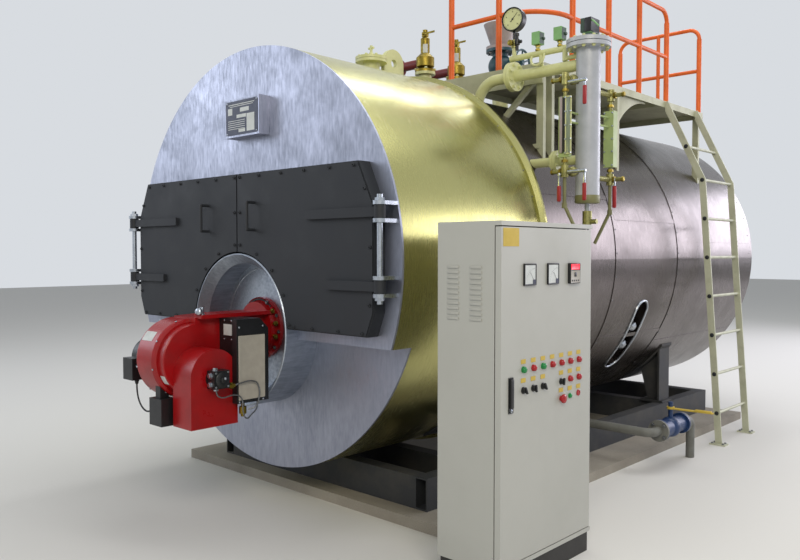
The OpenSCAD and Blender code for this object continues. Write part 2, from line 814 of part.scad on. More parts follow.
// Vent nozzle with its blind flange and air cock
module vent_nozzle() {
    vent_y = 988;
    pipe_r = 55;
    flange_r = 104;
    flange_t = 18;
    flange_z = 1289;
    cap_z = flange_z + 2 * flange_t + 2;
    cock_h = 78;
    color([0.76, 0.77, 0.72]) along(vent_y) difference() {
        union() {
            translate([0, 0, front_r - 60]) cylinder(r = pipe_r, h = cap_z - front_r + 50, $fn = fn_mid);
            for (z = [flange_z, flange_z + flange_t + 2]) translate([0, 0, z])
                cylinder(r = flange_r, h = flange_t, $fn = fn_mid);
            translate([0, 0, cap_z]) cylinder(r1 = 30, r2 = 12, h = 32, $fn = fn_mid);
            translate([0, 0, cap_z]) cylinder(r = 9, h = cock_h, $fn = fn_small);
            translate([-22, 0, cap_z + cock_h - 16]) rod_x(8, 44, fn_small);
        }
        translate([0, -200, 0]) rod_y(front_r + seat, 400, fn_big);
    }
}

// Lifting lug: an eye plate that stands on the front cladding and clears its bead
module lifting_lug() {
    eye_t = 30;
    eye_r = 94;
    eye_hole = 27;
    eye_z = front_r + 120;
    eye_y = 1190;
    color([0.76, 0.77, 0.72]) along(eye_y) difference() {
        translate([-eye_t / 2, 0, 0]) plate_yz(eye_t) difference() {
            union() {
                translate([0, eye_z]) circle(r = eye_r, $fn = fn_mid);
                translate([-eye_r, front_r - 20]) square([2 * eye_r, eye_z - front_r + 20]);
            }
            translate([0, eye_z]) circle(r = eye_hole, $fn = fn_mid);
        }
        translate([0, -200, 0]) rod_y(front_r + seat, 400, fn_big);
        translate([0, front_len - bead_w - eye_y - seat, 0]) rod_y(front_r + bead_h + seat, 4 * bead_w, fn_big);
    }
}

// One nozzle on the rear cladding, from its root in the cladding to its flange's top at z
module top_nozzle(d, z, pipe_r, flange_r, flange_t) {
    root = 40;
    along(d) difference() {
        union() {
            translate([0, 0, rear_r - root]) cylinder(r = pipe_r, h = z - rear_r + root - 1, $fn = fn_mid);
            translate([0, 0, z - flange_t]) cylinder(r = flange_r, h = flange_t, $fn = fn_mid);
        }
        translate([0, -200, 0]) rod_y(rear_r + seat, 400, fn_big);
    }
}

// Flanged nozzles for the two safety valves and the steam valve
module valve_nozzles() {
    color([0.76, 0.77, 0.72]) {
        for (d = safety_at) top_nozzle(d, safety_z, 45, safety_flange_r, 18);
        top_nozzle(steam_at, steam_z, 62, steam_flange_r, 24);
    }
}

// Spring safety valves: flange, throat, bulged body, spring housing and cap, turned in one
module safety_valves() {
    flange_t = 18;
    throat_r = 40;
    housing_r = 32;
    cap_r = 17;
    bulge_z = 40;
    bulge_h = 62;
    housing_z = 134;
    cap_z = 236;
    top_z = 298;
    round_by = 14;
    color([0.62, 0.50, 0.18]) for (d = safety_at) along(d) translate([0, 0, safety_z + seat])
        rotate_extrude($fn = fn_mid) polygon([
            [0, 0], [safety_flange_r, 0], [safety_flange_r, flange_t], [throat_r, flange_t],
            [throat_r, bulge_z - round_by],
            [bulge_r, bulge_z], [bulge_r, bulge_z + bulge_h], [bulge_r - round_by, bulge_z + bulge_h + round_by],
            [housing_r, housing_z], [housing_r, cap_z], [cap_r, cap_z + round_by], [cap_r, top_z], [0, top_z]]);
}

// Outlets of the safety valves, which lead to the left and end in a flange
module safety_outlets() {
    outlet_r = 32;
    outlet_len = 250;
    outlet_z = safety_z + 71;
    flange_r = 62;
    flange_t = 14;
    color(burner_red) for (d = safety_at) along(d) difference() {
        translate([-outlet_len, 0, outlet_z]) {
            rod_x(outlet_r, outlet_len, fn_mid);
            rod_x(flange_r, flange_t, fn_mid);
        }
        translate([0, 0, safety_z]) cylinder(r = bulge_r + seat, h = 200, $fn = fn_mid);
    }
}

// Main steam valve: flanged body with a bonnet to the right
module steam_valve() {
    flange_t = 22;
    body_r = 62;
    ball_r = 95;
    bonnet_r = 38;
    bonnet_len = 150;
    cover_r = 62;
    cover_t = 20;
    valve_len = steam_top - steam_z - 2 * seat;
    mid = valve_len / 2;
    color([0.12, 0.26, 0.30]) along(steam_at) translate([0, 0, steam_z + seat]) {
        cylinder(r = steam_flange_r, h = flange_t, $fn = fn_mid);
        translate([0, 0, valve_len - flange_t]) cylinder(r = steam_flange_r, h = flange_t, $fn = fn_mid);
        cylinder(r = body_r, h = valve_len, $fn = fn_mid);
        translate([0, 0, mid]) sphere(r = ball_r, $fn = fn_mid);
        translate([0, 0, mid]) rod_x(bonnet_r, bonnet_len, fn_mid);
        translate([bonnet_len - cover_t, 0, mid]) rod_x(cover_r, cover_t, fn_mid);
    }
}

// Hollow reducer on the steam valve's outlet, where the steam main begins
module steam_reducer() {
    flange_t = 22;
    low_r = 72;
    high_r = 132;
    wall = 8;
    reducer_len = 196;
    color(steel_grey) along(steam_at) translate([0, 0, steam_top]) rotate_extrude($fn = fn_mid) polygon([
        [low_r - wall, 0], [steam_flange_r, 0], [steam_flange_r, flange_t], [low_r, flange_t],
        [high_r, reducer_len], [high_r - wall, reducer_len], [low_r - wall, flange_t]]);
}

// Water column with its flanged head on a gasket and its domed foot
module water_column() {
    gasket_r = 100;
    gasket_t = 4;
    dome_h = 35;
    neck_r = 18;
    neck_h = 36;
    drain_r = 15;
    flange_z = column_top - column_flange_t;
    cover_z = column_top + gasket_t;
    color([0.70, 0.72, 0.74]) along(column_y) translate([column_x, 0, 0]) {
        translate([0, 0, column_low]) cylinder(r = column_r, h = column_len, $fn = fn_mid);
        translate([0, 0, column_low]) intersection() {
            sphere(r = column_r, $fn = fn_mid);
            translate([-column_r, -column_r, -dome_h]) cube([2 * column_r, 2 * column_r, dome_h + 5]);
        }
        translate([0, 0, drain_cock_high + seat])
            cylinder(r = drain_r, h = column_low - drain_cock_high, $fn = fn_small);
        translate([0, 0, flange_z]) cylinder(r = column_flange_r, h = column_flange_t, $fn = fn_mid);
        translate([0, 0, column_top - 1]) cylinder(r = gasket_r, h = gasket_t + 2, $fn = fn_mid);
        translate([0, 0, cover_z]) cylinder(r = column_flange_r, h = column_flange_t, $fn = fn_mid);
        translate([0, 0, cover_z]) cylinder(r = neck_r, h = column_flange_t + neck_h, $fn = fn_small);
    }
}

// Pipes from the shell to the column: a bent steam leg above and a straight water leg below
module column_pipes() {
    up_x = 560;
    up_root = 800;
    up_bend = 150;
    low_r = 28;
    low_x = 800;
    flange_t = 18;
    flange_step = flange_t + 2;
    up_flange_r = 90;
    up_flange_x = 820;
    low_flange_r = 66;
    low_flange_x = 1140;
    end_x = column_x - column_r / 2;
    color([0.78, 0.79, 0.74]) along(column_y) difference() {
        union() {
            translate([up_x, 0, up_pipe_z - up_bend]) bend(up_bend, link_r);
            translate([up_x, 0, up_root]) cylinder(r = link_r, h = up_pipe_z - up_bend - up_root, $fn = fn_mid);
            translate([up_x + up_bend, 0, up_pipe_z]) rod_x(link_r, end_x - up_x - up_bend, fn_mid);
            for (x = [0, flange_step]) translate([up_flange_x + x, 0, up_pipe_z])
                rod_x(up_flange_r, flange_t, fn_mid);
            translate([low_x, 0, low_pipe_z]) rod_x(low_r, end_x - low_x, fn_mid);
            for (x = [0, flange_step]) translate([low_flange_x + x, 0, low_pipe_z])
                rod_x(low_flange_r, flange_t, fn_mid);
        }
        translate([0, -200, 0]) rod_y(rear_r + seat, 400, fn_big);
        translate([column_x, 0, 0]) cylinder(r = column_r + seat, h = column_top, $fn = fn_mid);
    }
}

// Two level gauges: a framed glass in front of the column and a closed housing behind it, pinned to the column
module level_gauges() {
    bar = [22, 26];
    frame_half = 35;
    glass_r = 9;
    rail_t = 20;
    housing = [64, 49];
    pin_r = 6;
    pins = [790, 845];
    left_len = left_gauge[3] - left_gauge[2];
    right_len = right_gauge[3] - right_gauge[2];
    color([0.55, 0.62, 0.50]) along(column_y) translate([column_x, 0, 0]) difference() {
        union() {
            translate([left_gauge[0], left_gauge[1], left_gauge[2]]) {
                for (s = [-1, 1]) translate([s * (frame_half - bar[0] / 2) - bar[0] / 2, -bar[1] / 2, 0])
                    cube([bar[0], bar[1], left_len]);
                for (z = [0, left_len - rail_t]) translate([-frame_half, -bar[1] / 2, z])
                    cube([2 * frame_half, bar[1], rail_t]);
                cylinder(r = glass_r, h = left_len, $fn = fn_small);
            }
            for (z = pins) translate([left_gauge[0] + frame_half - bar[0] / 2, left_gauge[1], z])
                rod_y(pin_r, -left_gauge[1], fn_small);
            translate([right_gauge[0] - housing[0] / 2, right_gauge[1] - housing[1] / 2, right_gauge[2]])
                cube([housing[0], housing[1], right_len]);
            for (z = pins) translate([right_gauge[0], 0, z]) rod_y(pin_r, right_gauge[1], fn_small);
        }
        cylinder(r = column_r + seat, h = column_top, $fn = fn_mid);
    }
}

// Cocks of the gauges, of the column's drain and of the dial
module gauge_cocks() {
    body_r = 22;
    body_half = 34;
    arm_r = 15;
    cap_r = 13;
    stem_r = 11;
    ball_r = 30;
    ball_y = -112;
    left_z = [510, 1034];
    right_z = [480, 978];
    cap_len = 75;
    drain_r = 27;
    knob_r = 14;
    knob_len = 62;
    dial_cock_r = 20;
    color([0.62, 0.60, 0.42]) along(column_y) {
        translate([column_x, 0, 0]) difference() {
            union() {
                translate([left_gauge[0], left_gauge[1], 0]) for (z = left_z) translate([0, 0, z]) {
                    translate([body_r, 0, 0]) rod_y(arm_r, -left_gauge[1], fn_small);
                    translate([body_r, ball_y - left_gauge[1], 0]) sphere(r = ball_r, $fn = fn_mid);
                    translate([0, 0, -body_half]) cylinder(r = body_r, h = 2 * body_half, $fn = fn_small);
                    translate([-cap_len, 0, 0]) rod_x(cap_r, cap_len + body_r, fn_small);
                }
                translate([right_gauge[0], right_gauge[1], 0]) for (z = right_z) translate([0, 0, z]) {
                    translate([0, -right_gauge[1], 0]) rod_y(arm_r, right_gauge[1], fn_small);
                    translate([0, 0, -body_half]) cylinder(r = body_r, h = 2 * body_half, $fn = fn_small);
                    rod_x(cap_r, cap_len, fn_small);
                }
                for (g = [[left_gauge, left_z], [right_gauge, right_z]]) translate([g[0][0], g[0][1], 0]) {
                    translate([0, 0, g[1][0]]) cylinder(r = stem_r, h = g[0][2] - seat - g[1][0], $fn = fn_small);
                    translate([0, 0, g[0][3] + seat])
                        cylinder(r = stem_r, h = g[1][1] - g[0][3] - seat, $fn = fn_small);
                }
            }
            cylinder(r = column_r + seat, h = column_top, $fn = fn_mid);
        }
        translate([column_x, 0, drain_cock_low]) {
            cylinder(r = drain_r, h = drain_cock_high - drain_cock_low, $fn = fn_small);
            translate([0, 0, body_half / 2]) rod_x(knob_r, knob_len, fn_small);
        }
        translate([dial_x, 0, cock_low + seat])
            cylinder(r = dial_cock_r, h = cock_high - cock_low - seat, $fn = fn_small);
    }
}

// A tube that runs down for drop to a union nut, leans over there toward +X and runs on for len
module leaning_tube(drop, lean, len) {
    drain_r = 10;
    nut_r = 15;
    nut_h = 30;
    mirror([0, 0, 1]) {
        cylinder(r = drain_r, h = drop, $fn = fn_small);
        translate([0, 0, drop - nut_h / 2]) cylinder(r = nut_r, h = nut_h, $fn = fn_small);
        translate([0, 0, drop]) rotate([0, lean, 0]) cylinder(r = drain_r, h = len, $fn = fn_small);
    }
}

// Drain tubes under the gauges
module gauge_drains() {
    left_top = 476;
    right_top = 446;
    drop = 160;
    lean = 28;
    len = 210;
    color([0.62, 0.60, 0.52]) along(column_y) translate([column_x, 0, 0]) {
        translate([left_gauge[0], left_gauge[1], left_top - seat]) leaning_tube(drop, lean, len);
        translate([right_gauge[0], right_gauge[1], right_top - seat]) rotate([0, 0, 180])
            leaning_tube(drop, lean, len);
    }
}

// Header pipe for the pressure instruments, fed from the column and from the steam leg
module pressure_header() {
    start_x = 815;
    drop_x = 1205;
    feed_x = 1040;
    feed_z = 1196;
    feed_r = 14;
    drop_r = 16;
    stub_r = 8;
    nut_r = 13;
    nut_h = 18;
    color([0.80, 0.80, 0.70]) along(column_y) difference() {
        union() {
            translate([start_x, 0, head_z]) rod_x(head_r, drop_x - start_x, fn_small);
            translate([drop_x, 0, feed_z - drop_r])
                cylinder(r = drop_r, h = head_z + head_r - feed_z + drop_r, $fn = fn_small);
            translate([drop_x, 0, feed_z]) rod_x(feed_r, column_x - drop_x, fn_small);
            translate([feed_x, 0, up_pipe_z + link_r + seat])
                cylinder(r = feed_r, h = head_z - up_pipe_z - link_r, $fn = fn_small);
            translate([dial_x, 0, head_z]) cylinder(r = nut_r, h = cock_low - head_z, $fn = fn_small);
            for (x = switch_x) translate([x, 0, head_z]) {
                cylinder(r = stub_r, h = switch_z - head_z, $fn = fn_small);
                translate([0, 0, switch_z - head_z - nut_h]) cylinder(r = nut_r, h = nut_h, $fn = fn_small);
            }
        }
        translate([column_x, 0, 0]) cylinder(r = column_r + seat, h = column_top, $fn = fn_mid);
    }
}

// Pressure gauge, which looks to the front
module pressure_gauge() {
    stem_r = 9;
    dial_z = 1493;
    dial_r = 72;
    dial_t = 46;
    dial_turn = 7;
    color([0.85, 0.85, 0.78]) along(column_y) translate([dial_x, 0, 0]) {
        translate([0, 0, cock_high + seat]) cylinder(r = stem_r, h = dial_z - cock_high, $fn = fn_small);
        translate([0, 0, dial_z]) rotate([90, 0, dial_turn]) translate([0, 0, -dial_t / 2])
            cylinder(r = dial_r, h = dial_t, $fn = fn_mid);
    }
}

// Two pressure switches on the header and the float switch on the column's head
module pressure_switches() {
    switch = [53, 57, 74];
    float = [58, 95, 78];
    color([0.42, 0.62, 0.30]) along(column_y) {
        for (x = switch_x) translate([x - switch[0] / 2, -switch[1] / 2, switch_z + seat]) cube(switch);
        translate([column_x - float[0] / 3, -float[1] / 2, float_z + seat]) cube(float);
    }
}

// Long round handhole low on the side: its frame in the cladding, the cover, two yokes and their nuts
module handhole() {
    frame_t = 8;
    frame_proud = 6;
    cover_gap = 14;
    cover_t = 40;
    yoke_w = 34;
    yoke_t = 20;
    yoke_gap = 160;
    yoke_sunk = 8;
    stud_len = 60;
    nut_r = 24;
    nut_t = 22;
    cover_top = shell_r + cover_t;
    color([0.66, 0.67, 0.66]) {
        difference() {
            intersection() {
                handhole_pocket(seat, 2 * (rear_r - shell_r));
                along(hand_y - 2 * hand_half) rod_y(rear_r + frame_proud, 4 * hand_half, fn_big);
            }
            handhole_pocket(frame_t, 3 * (rear_r - shell_r));
            along(hand_y - 3 * hand_half) rod_y(shell_r + seat, 6 * hand_half, fn_big);
        }
        difference() {
            intersection() {
                handhole_pocket(frame_t + cover_gap, rear_r - shell_r);
                along(hand_y - 2 * hand_half) rod_y(cover_top, 4 * hand_half, fn_big);
            }
            along(hand_y - 3 * hand_half) rod_y(shell_r + seat, 6 * hand_half, fn_big);
        }
        along(hand_y) rotate([0, hand_angle, 0]) for (s = [-1, 1])
            translate([cover_top - yoke_sunk, 0, s * yoke_gap / 2]) {
            translate([0, -hand_half + frame_t + cover_gap, -yoke_w / 2])
                cube([yoke_t, 2 * (hand_half - frame_t - cover_gap), yoke_w]);
            rod_x(nut_r / 2, stud_len, fn_small);
            translate([yoke_t, 0, 0]) rod_x(nut_r, nut_t, 6);
        }
    }
}

// Blow-down pipe: down from the shell, out to the side, rearward through the valve and down to the floor
module blowdown_pipe() {
    down_x = 520;
    down_y = 618;
    root_h = 200;
    color([0.50, 0.50, 0.48]) along(blow_y) difference() {
        union() {
            translate([down_x, 0, out_z + blow_bend]) cylinder(r = blow_r, h = root_h, $fn = fn_mid);
            translate([down_x, 0, out_z + blow_bend]) mirror([0, 0, 1]) bend(blow_bend, blow_r);
            translate([down_x + blow_bend, 0, out_z]) rod_x(blow_r, blow_x - down_x - 2 * blow_bend, fn_mid);
            translate([blow_x - blow_bend, blow_bend, out_z]) level_arc(blow_bend, blow_r, -90);
            translate([blow_x, blow_bend, out_z]) rod_y(blow_r, valve_a - blow_bend, fn_mid);
            for (y = [valve_a - blow_flange_t, valve_b]) translate([blow_x, y, out_z])
                rod_y(blow_flange_r, blow_flange_t, fn_mid);
            translate([blow_x, valve_b, out_z]) rod_y(blow_r, down_y - blow_bend - valve_b, fn_mid);
            translate([blow_x, down_y, out_z - blow_bend]) rotate([0, 0, -90]) bend(blow_bend, blow_r);
            translate([blow_x, down_y, -axis_h])
                cylinder(r = blow_r, h = axis_h + out_z - blow_bend, $fn = fn_mid);
        }
        translate([0, -200, 0]) rod_y(rear_r + seat, 400, fn_big);
        translate([0, -200, 0]) rod_y(rear_r + seam_h + seat, 200 + 2 * seat, fn_big);
    }
}

// Blow-down valve with its stem
module blowdown_valve() {
    valve_len = valve_b - valve_a - 2 * seat;
    body_r = 55;
    ball_r = 70;
    stem_h = 170;
    color([0.10, 0.25, 0.50]) along(blow_y) translate([blow_x, valve_a + seat, out_z]) {
        for (y = [0, valve_len - blow_flange_t]) translate([0, y, 0]) rod_y(blow_flange_r, blow_flange_t, fn_mid);
        rod_y(body_r, valve_len, fn_mid);
        translate([0, valve_len / 2, 0]) {
            sphere(r = ball_r, $fn = fn_mid);
            cylinder(r = stem_r, h = stem_h, $fn = fn_small);
        }
    }
}

// Long flat lever round the valve's stem
module blowdown_lever() {
    lever_len = 285;
    lever_w = 30;
    lever_t = 8;
    lever_turn = 3;
    hub_r = 26;
    hub_t = 16;
    lever_y = blow_y + (valve_a + valve_b) / 2;
    color([0.75, 0.62, 0.15]) along(lever_y) translate([blow_x, 0, out_z + lever_z]) difference() {
        union() {
            cylinder(r = hub_r, h = hub_t, $fn = fn_small);
            rotate([0, 0, lever_turn]) translate([0, -lever_w / 2, 0]) cube([lever_len, lever_w, lever_t]);
        }
        translate([0, 0, -1]) cylinder(r = stem_r + seat, h = hub_t + 2, $fn = fn_small);
    }
}

// Burner flange on the tunnel's back plate
module burner_flange() {
    color(burner_red) along(tunnel_back - seat - burner_ring_t) translate([0, 0, -furnace_drop]) difference() {
        rod_y(flange_r, burner_ring_t, fn_mid);
        translate([0, -1, 0]) rod_y(blast_r + seat, burner_ring_t + 2, fn_mid);
    }
}

// Burner body: fan volute with bevelled rims, neck to the head, blast tube and the slide arm above
module burner_body() {
    blast_z = -furnace_drop;
    rim = 18;
    rim_small = 5;
    volute_w = volute_left + 34;
    step_r = 190;
    step_end = volute_left + neck_right;
    neck_left = 120;
    neck_low = -540;
    neck_top = -290;
    neck_front_top = -298;
    neck_slope = 180;
    head_y = 40;
    head_r = 152;
    ring_front = tunnel_back - burner_ring_t - 2 * seat;
    blast_len = 480;
    arm_x = 120;
    arm_w = 30;
    arm_t = 20;
    arm_front = fan_y - 8;
    tie_w = 40;
    color(burner_red) along(0) {
        translate([-volute_left, -fan_y, -fan_drop]) rotate([0, 90, 0]) rotate_extrude($fn = fn_big) polygon([
            [0, 0], [volute_r - rim, 0], [volute_r - rim_small, rim_small], [volute_r, rim],
            [volute_r, volute_w - rim], [volute_r - rim_small, volute_w - rim_small], [volute_r - rim, volute_w],
            [step_r, volute_w], [step_r, step_end - rim_small], [step_r - rim_small, step_end], [0, step_end]]);
        translate([-neck_left, 0, 0]) plate_yz(neck_left + neck_right) polygon([
            [-fan_y, neck_low], [-fan_y, neck_front_top], [neck_slope - fan_y, neck_top], [head_y, neck_top],
            [head_y, neck_low]]);
        translate([0, head_y, blast_z]) rod_y(head_r, ring_front - head_y, fn_mid);
        translate([0, head_y, blast_z]) rod_y(blast_r, blast_len, fn_mid);
        translate([arm_x - arm_w / 2, -arm_front, box_top + seat]) {
            cube([arm_w, arm_front + ring_front, arm_t]);
            translate([-tie_w, 0, 0]) cube([tie_w + 1, tie_w, arm_t]);
        }
    }
}

// Air intake: round-topped duct on the fan's right side
module air_intake() {
    intake_y = 405;
    intake_z = -590;
    intake_low = -852;
    color(burner_red) along(0) translate([neck_right + seat, -intake_y, 0]) plate_yz(intake_t) {
        translate([0, intake_z]) circle(r = intake_half, $fn = fn_mid);
        translate([-intake_half, intake_low]) square([2 * intake_half, intake_z - intake_low]);
    }
}

// Fan motor on the left side with its end shield, fan cowl and terminal box
module fan_motor() {
    motor_drop = 540;
    shield_r = 112;
    shield_t = 24;
    cowl_r = motor_r + 7;
    cowl_len = 60;
    terminal = [100, 110, 118];
    terminal_at = [-180, -190, -105];
    color(black) along(0) translate([-volute_left - seat, -fan_y, -motor_drop]) {
        translate([-motor_len, 0, 0]) rod_x(motor_r, motor_len, fn_mid);
        translate([-shield_t, 0, 0]) rod_x(shield_r, shield_t, fn_mid);
        translate([-motor_len, 0, 0]) rod_x(cowl_r, cowl_len, fn_mid);
        translate(terminal_at) cube(terminal);
    }
}

// Control box on the right side of the burner's neck, with a cover that reaches forward
module burner_control() {
    box_x = neck_right + intake_t + 2 * seat;
    box_end = 300;
    box_back = -94;
    box_low = -745;
    cover_front = -298;
    body_front = -260;
    slant = 55;
    color(black) along(0) {
        translate([neck_right + seat, 0, 0]) plate_yz(box_x - neck_right) polygon([
            [body_front, box_low], [body_front, box_top], [box_back - slant, box_top],
            [box_back, box_top - slant], [box_back, box_low]]);
        translate([box_x, 0, 0]) plate_yz(box_end - box_x) polygon([
            [cover_front, box_low], [cover_front, box_top], [box_back - slant, box_top],
            [box_back, box_top - slant], [box_back, box_low]]);
    }
}

// Damper drive: a closed box that hangs under the volute by a bracket
module damper_drive() {
    drive = [119, 86, 141];
    drive_at = [-53, -600, -853];
    hanger = [46, 50, 140];
    hanger_at = [-20, -582, -740];
    color(black) along(0) {
        translate(drive_at) cube(drive);
        difference() {
            translate(hanger_at) cube(hanger);
            translate([-volute_left, -fan_y, -fan_drop]) rod_x(volute_r + seat, 2 * volute_left, fn_big);
        }
    }
}

// Oil pump on the outer side of the air intake
module oil_pump() {
    pump_y = 410;
    pump_z = 600;
    boss_r = 50;
    boss_len = 12;
    body_w = 92;
    body_len = 64;
    color(black) along(0) translate([neck_right + intake_t + 2 * seat, -pump_y, -pump_z]) {
        rod_x(boss_r, boss_len, fn_mid);
        translate([boss_len - 4, -body_w / 2, -body_w / 2]) cube([body_len, body_w, body_w]);
    }
}

// Control cabinet: sheet housing on a base, open toward its door
module control_cabinet() {
    top_h = cabinet_base + cabinet_h;
    pin_h = cap_gap + cabinet_pin_len;
    color([0.80, 0.78, 0.70]) on_floor(cabinet_y) translate([cabinet_x, 0, 0]) {
        translate([10, 10, 0]) cube([cabinet_d - 20, cabinet_w - 20, cabinet_base]);
        for (z = [cabinet_base, top_h - cap_t]) translate([0, 0, z]) cube([cabinet_d, cabinet_w, cap_t]);
        difference() {
            translate([0, 0, cabinet_base]) cube([cabinet_d - panel_t - cap_gap, cabinet_w, cabinet_h]);
            translate([sheet_t, sheet_t, cabinet_base + cap_t])
                cube([cabinet_d, cabinet_w - 2 * sheet_t, cabinet_h - 2 * cap_t]);
        }
        translate([cabinet_d - panel_t / 2, cabinet_w - panel_t / 2, 0]) {
            translate([0, 0, cabinet_base + cap_t]) cylinder(r = cabinet_pin_r, h = pin_h, $fn = fn_small);
            translate([0, 0, top_h - cap_t - pin_h]) cylinder(r = cabinet_pin_r, h = pin_h, $fn = fn_small);
        }
    }
}

// Cabinet door with its instruments, knobs and lock
module cabinet_door() {
    leaf_z = cabinet_base + cap_t + cap_gap;
    leaf_h = cabinet_h - 2 * (cap_t + cap_gap);
    pin_y = cabinet_w - panel_t / 2;
    bore_len = cabinet_pin_len + cap_gap;
    leaf_x = cabinet_x + cabinet_d - panel_t;
    color([0.80, 0.78, 0.70]) on_floor(cabinet_y) translate([leaf_x, 0, leaf_z]) difference() {
        union() {
            cube([panel_t, pin_y, leaf_h]);
            translate([panel_t / 2, pin_y, 0]) cylinder(r = panel_t / 2, h = leaf_h, $fn = fn_mid);
        }
        for (z = [-1, leaf_h - bore_len]) translate([panel_t / 2, pin_y, z])
            cylinder(r = cabinet_pin_r + hinge_fit, h = bore_len + 1, $fn = fn_small);
    }
}

plinth();
skid();
front_legs();
rear_legs();
shell();
front_tube_plate();
rear_tube_plate();
smoke_tubes();
furnace();
smoke_box();
raised_plate();
lower_front();
burner_tunnel();
front_cladding();
rear_cladding();
rear_end();
flue_outlet();
door_left();
door_right();
door_hinges();
walkway_deck();
walkway_supports();
guard_rails();
ladder();
vent_nozzle();
lifting_lug();
valve_nozzles();
safety_valves();
safety_outlets();
steam_valve();
steam_reducer();
water_column();
column_pipes();
level_gauges();
gauge_cocks();
gauge_drains();
pressure_header();
pressure_gauge();
pressure_switches();
handhole();
blowdown_pipe();
blowdown_valve();
blowdown_lever();
burner_flange();
burner_body();
air_intake();
fan_motor();
burner_control();
damper_drive();
oil_pump();
control_cabinet();
cabinet_door();
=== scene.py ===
# %% [markdown]
# # A fire-tube steam boiler, dressed for its picture
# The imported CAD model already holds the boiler's forms: shell, jackets, doors, burner, walkway and cabinet.
# This lesson loads it, gives every part its real finish, and models the small things that a maker adds last:
# bolts, lamps, meters, levers, pipes and gauges. Everything is in metres, with the floor at Z = 0.

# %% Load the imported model
import math
import bmesh
import bpy
from mathutils import Matrix, Vector


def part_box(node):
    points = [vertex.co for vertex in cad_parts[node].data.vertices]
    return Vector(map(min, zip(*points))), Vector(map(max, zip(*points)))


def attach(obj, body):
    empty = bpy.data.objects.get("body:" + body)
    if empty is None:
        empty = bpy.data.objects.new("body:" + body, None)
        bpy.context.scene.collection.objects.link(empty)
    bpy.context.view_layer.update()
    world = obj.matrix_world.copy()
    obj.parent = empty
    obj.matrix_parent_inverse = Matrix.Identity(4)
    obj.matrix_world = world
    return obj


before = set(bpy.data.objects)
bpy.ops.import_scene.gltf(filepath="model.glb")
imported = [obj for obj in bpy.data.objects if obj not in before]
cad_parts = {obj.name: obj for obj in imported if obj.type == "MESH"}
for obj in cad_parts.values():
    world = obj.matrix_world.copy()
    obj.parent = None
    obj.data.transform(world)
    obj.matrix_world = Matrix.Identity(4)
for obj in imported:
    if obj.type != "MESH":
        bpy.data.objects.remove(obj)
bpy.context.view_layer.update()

# %% [markdown]
# ## Shared measures
# The shell's axis lies along Y. The smoke-box face is its front, and most of the dimensions are taken from there, so
# these places are named once and used everywhere. So are the six directions that pieces look in.

# %% Name the main places and directions
HOME = (0, 0, 0)
RIGHT, LEFT, BACK, FRONT, UP, DOWN = (1, 0, 0), (-1, 0, 0), (0, 1, 0), (0, -1, 0), (0, 0, 1), (0, 0, -1)
FACE_Y = -2.370
AXIS_Z = 1.420
DOOR_Y = FACE_Y - 0.080
FRONT_R = 1.200
REAR_R = 1.150


def at(x, behind, up):
    """A point given by its distance right of the axis, behind the smoke-box face, and above the axis."""
    return Vector((x, FACE_Y + behind, AXIS_Z + up))


def clock(angle, toward=RIGHT):
    """The unit vector at an angle in degrees from the top, turning toward the right or another side."""
    turn = math.radians(angle)
    return Vector(toward) * math.sin(turn) + Vector(UP) * math.cos(turn)


print("face centre", tuple(at(0, 0, 0)))

# %% [markdown]
# ## Modelling by hand, in code
# An operator acts on everything that is selected, so each piece starts with nothing selected.
# These helpers do what a modeller does by hand: add a primitive, go into edit mode, pick faces by where they are,
# and leave the piece at the origin with its place in its mesh.

# %% Helpers for one piece at a time
def deselect():
    if bpy.context.object and bpy.context.object.mode != "OBJECT":
        bpy.ops.object.mode_set(mode="OBJECT")
    bpy.ops.object.select_all(action="DESELECT")


def activate(obj):
    deselect()
    obj.select_set(True)
    bpy.context.view_layer.objects.active = obj


def settle(obj, name):
    """Puts the piece's place, turn and size into its mesh and names it."""
    activate(obj)
    bpy.ops.object.transform_apply(location=True, rotation=True, scale=True)
    obj.name = name
    obj.data.name = name
    return obj


def pick_faces(obj, test):
    """Edit mode with only the faces selected whose middle and normal pass the test."""
    activate(obj)
    bpy.ops.object.mode_set(mode="EDIT")
    bpy.ops.mesh.select_mode(type="FACE")
    bpy.ops.mesh.select_all(action="DESELECT")
    shape = bmesh.from_edit_mesh(obj.data)
    for face in shape.faces:
        face.select = bool(test(face.calc_center_median(), face.normal))
    shape.select_flush_mode()
    bmesh.update_edit_mesh(obj.data)
    return sum(face.select for face in shape.faces)


def leave(obj, soft=None):
    """Back to object mode, shaded smooth up to an angle in degrees."""
    bpy.ops.object.mode_set(mode="OBJECT")
    if soft:
        activate(obj)
        bpy.ops.object.shade_smooth_by_angle(angle=math.radians(soft))


def round_edges(obj, width, segments=2, angle=35):
    """A bevel modifier on the sharp edges, applied."""
    activate(obj)
    bevel = obj.modifiers.new("rounded", "BEVEL")
    bevel.width, bevel.segments = width, segments
    bevel.limit_method, bevel.angle_limit = "ANGLE", math.radians(angle)
    bpy.ops.object.modifier_apply(modifier=bevel.name)
    bpy.ops.object.shade_smooth_by_angle(angle=math.radians(angle))


def block(name, low, high, bevel=0.002, segments=2):
    """A box between two corners with rounded edges."""
    deselect()
    middle = [(a + b) / 2 for a, b in zip(low, high)]
    size = [abs(b - a) for a, b in zip(low, high)]
    bpy.ops.mesh.primitive_cube_add(size=1, location=middle, scale=size)
    piece = settle(bpy.context.object, name)
    if bevel:
        round_edges(piece, bevel, segments)
    return piece


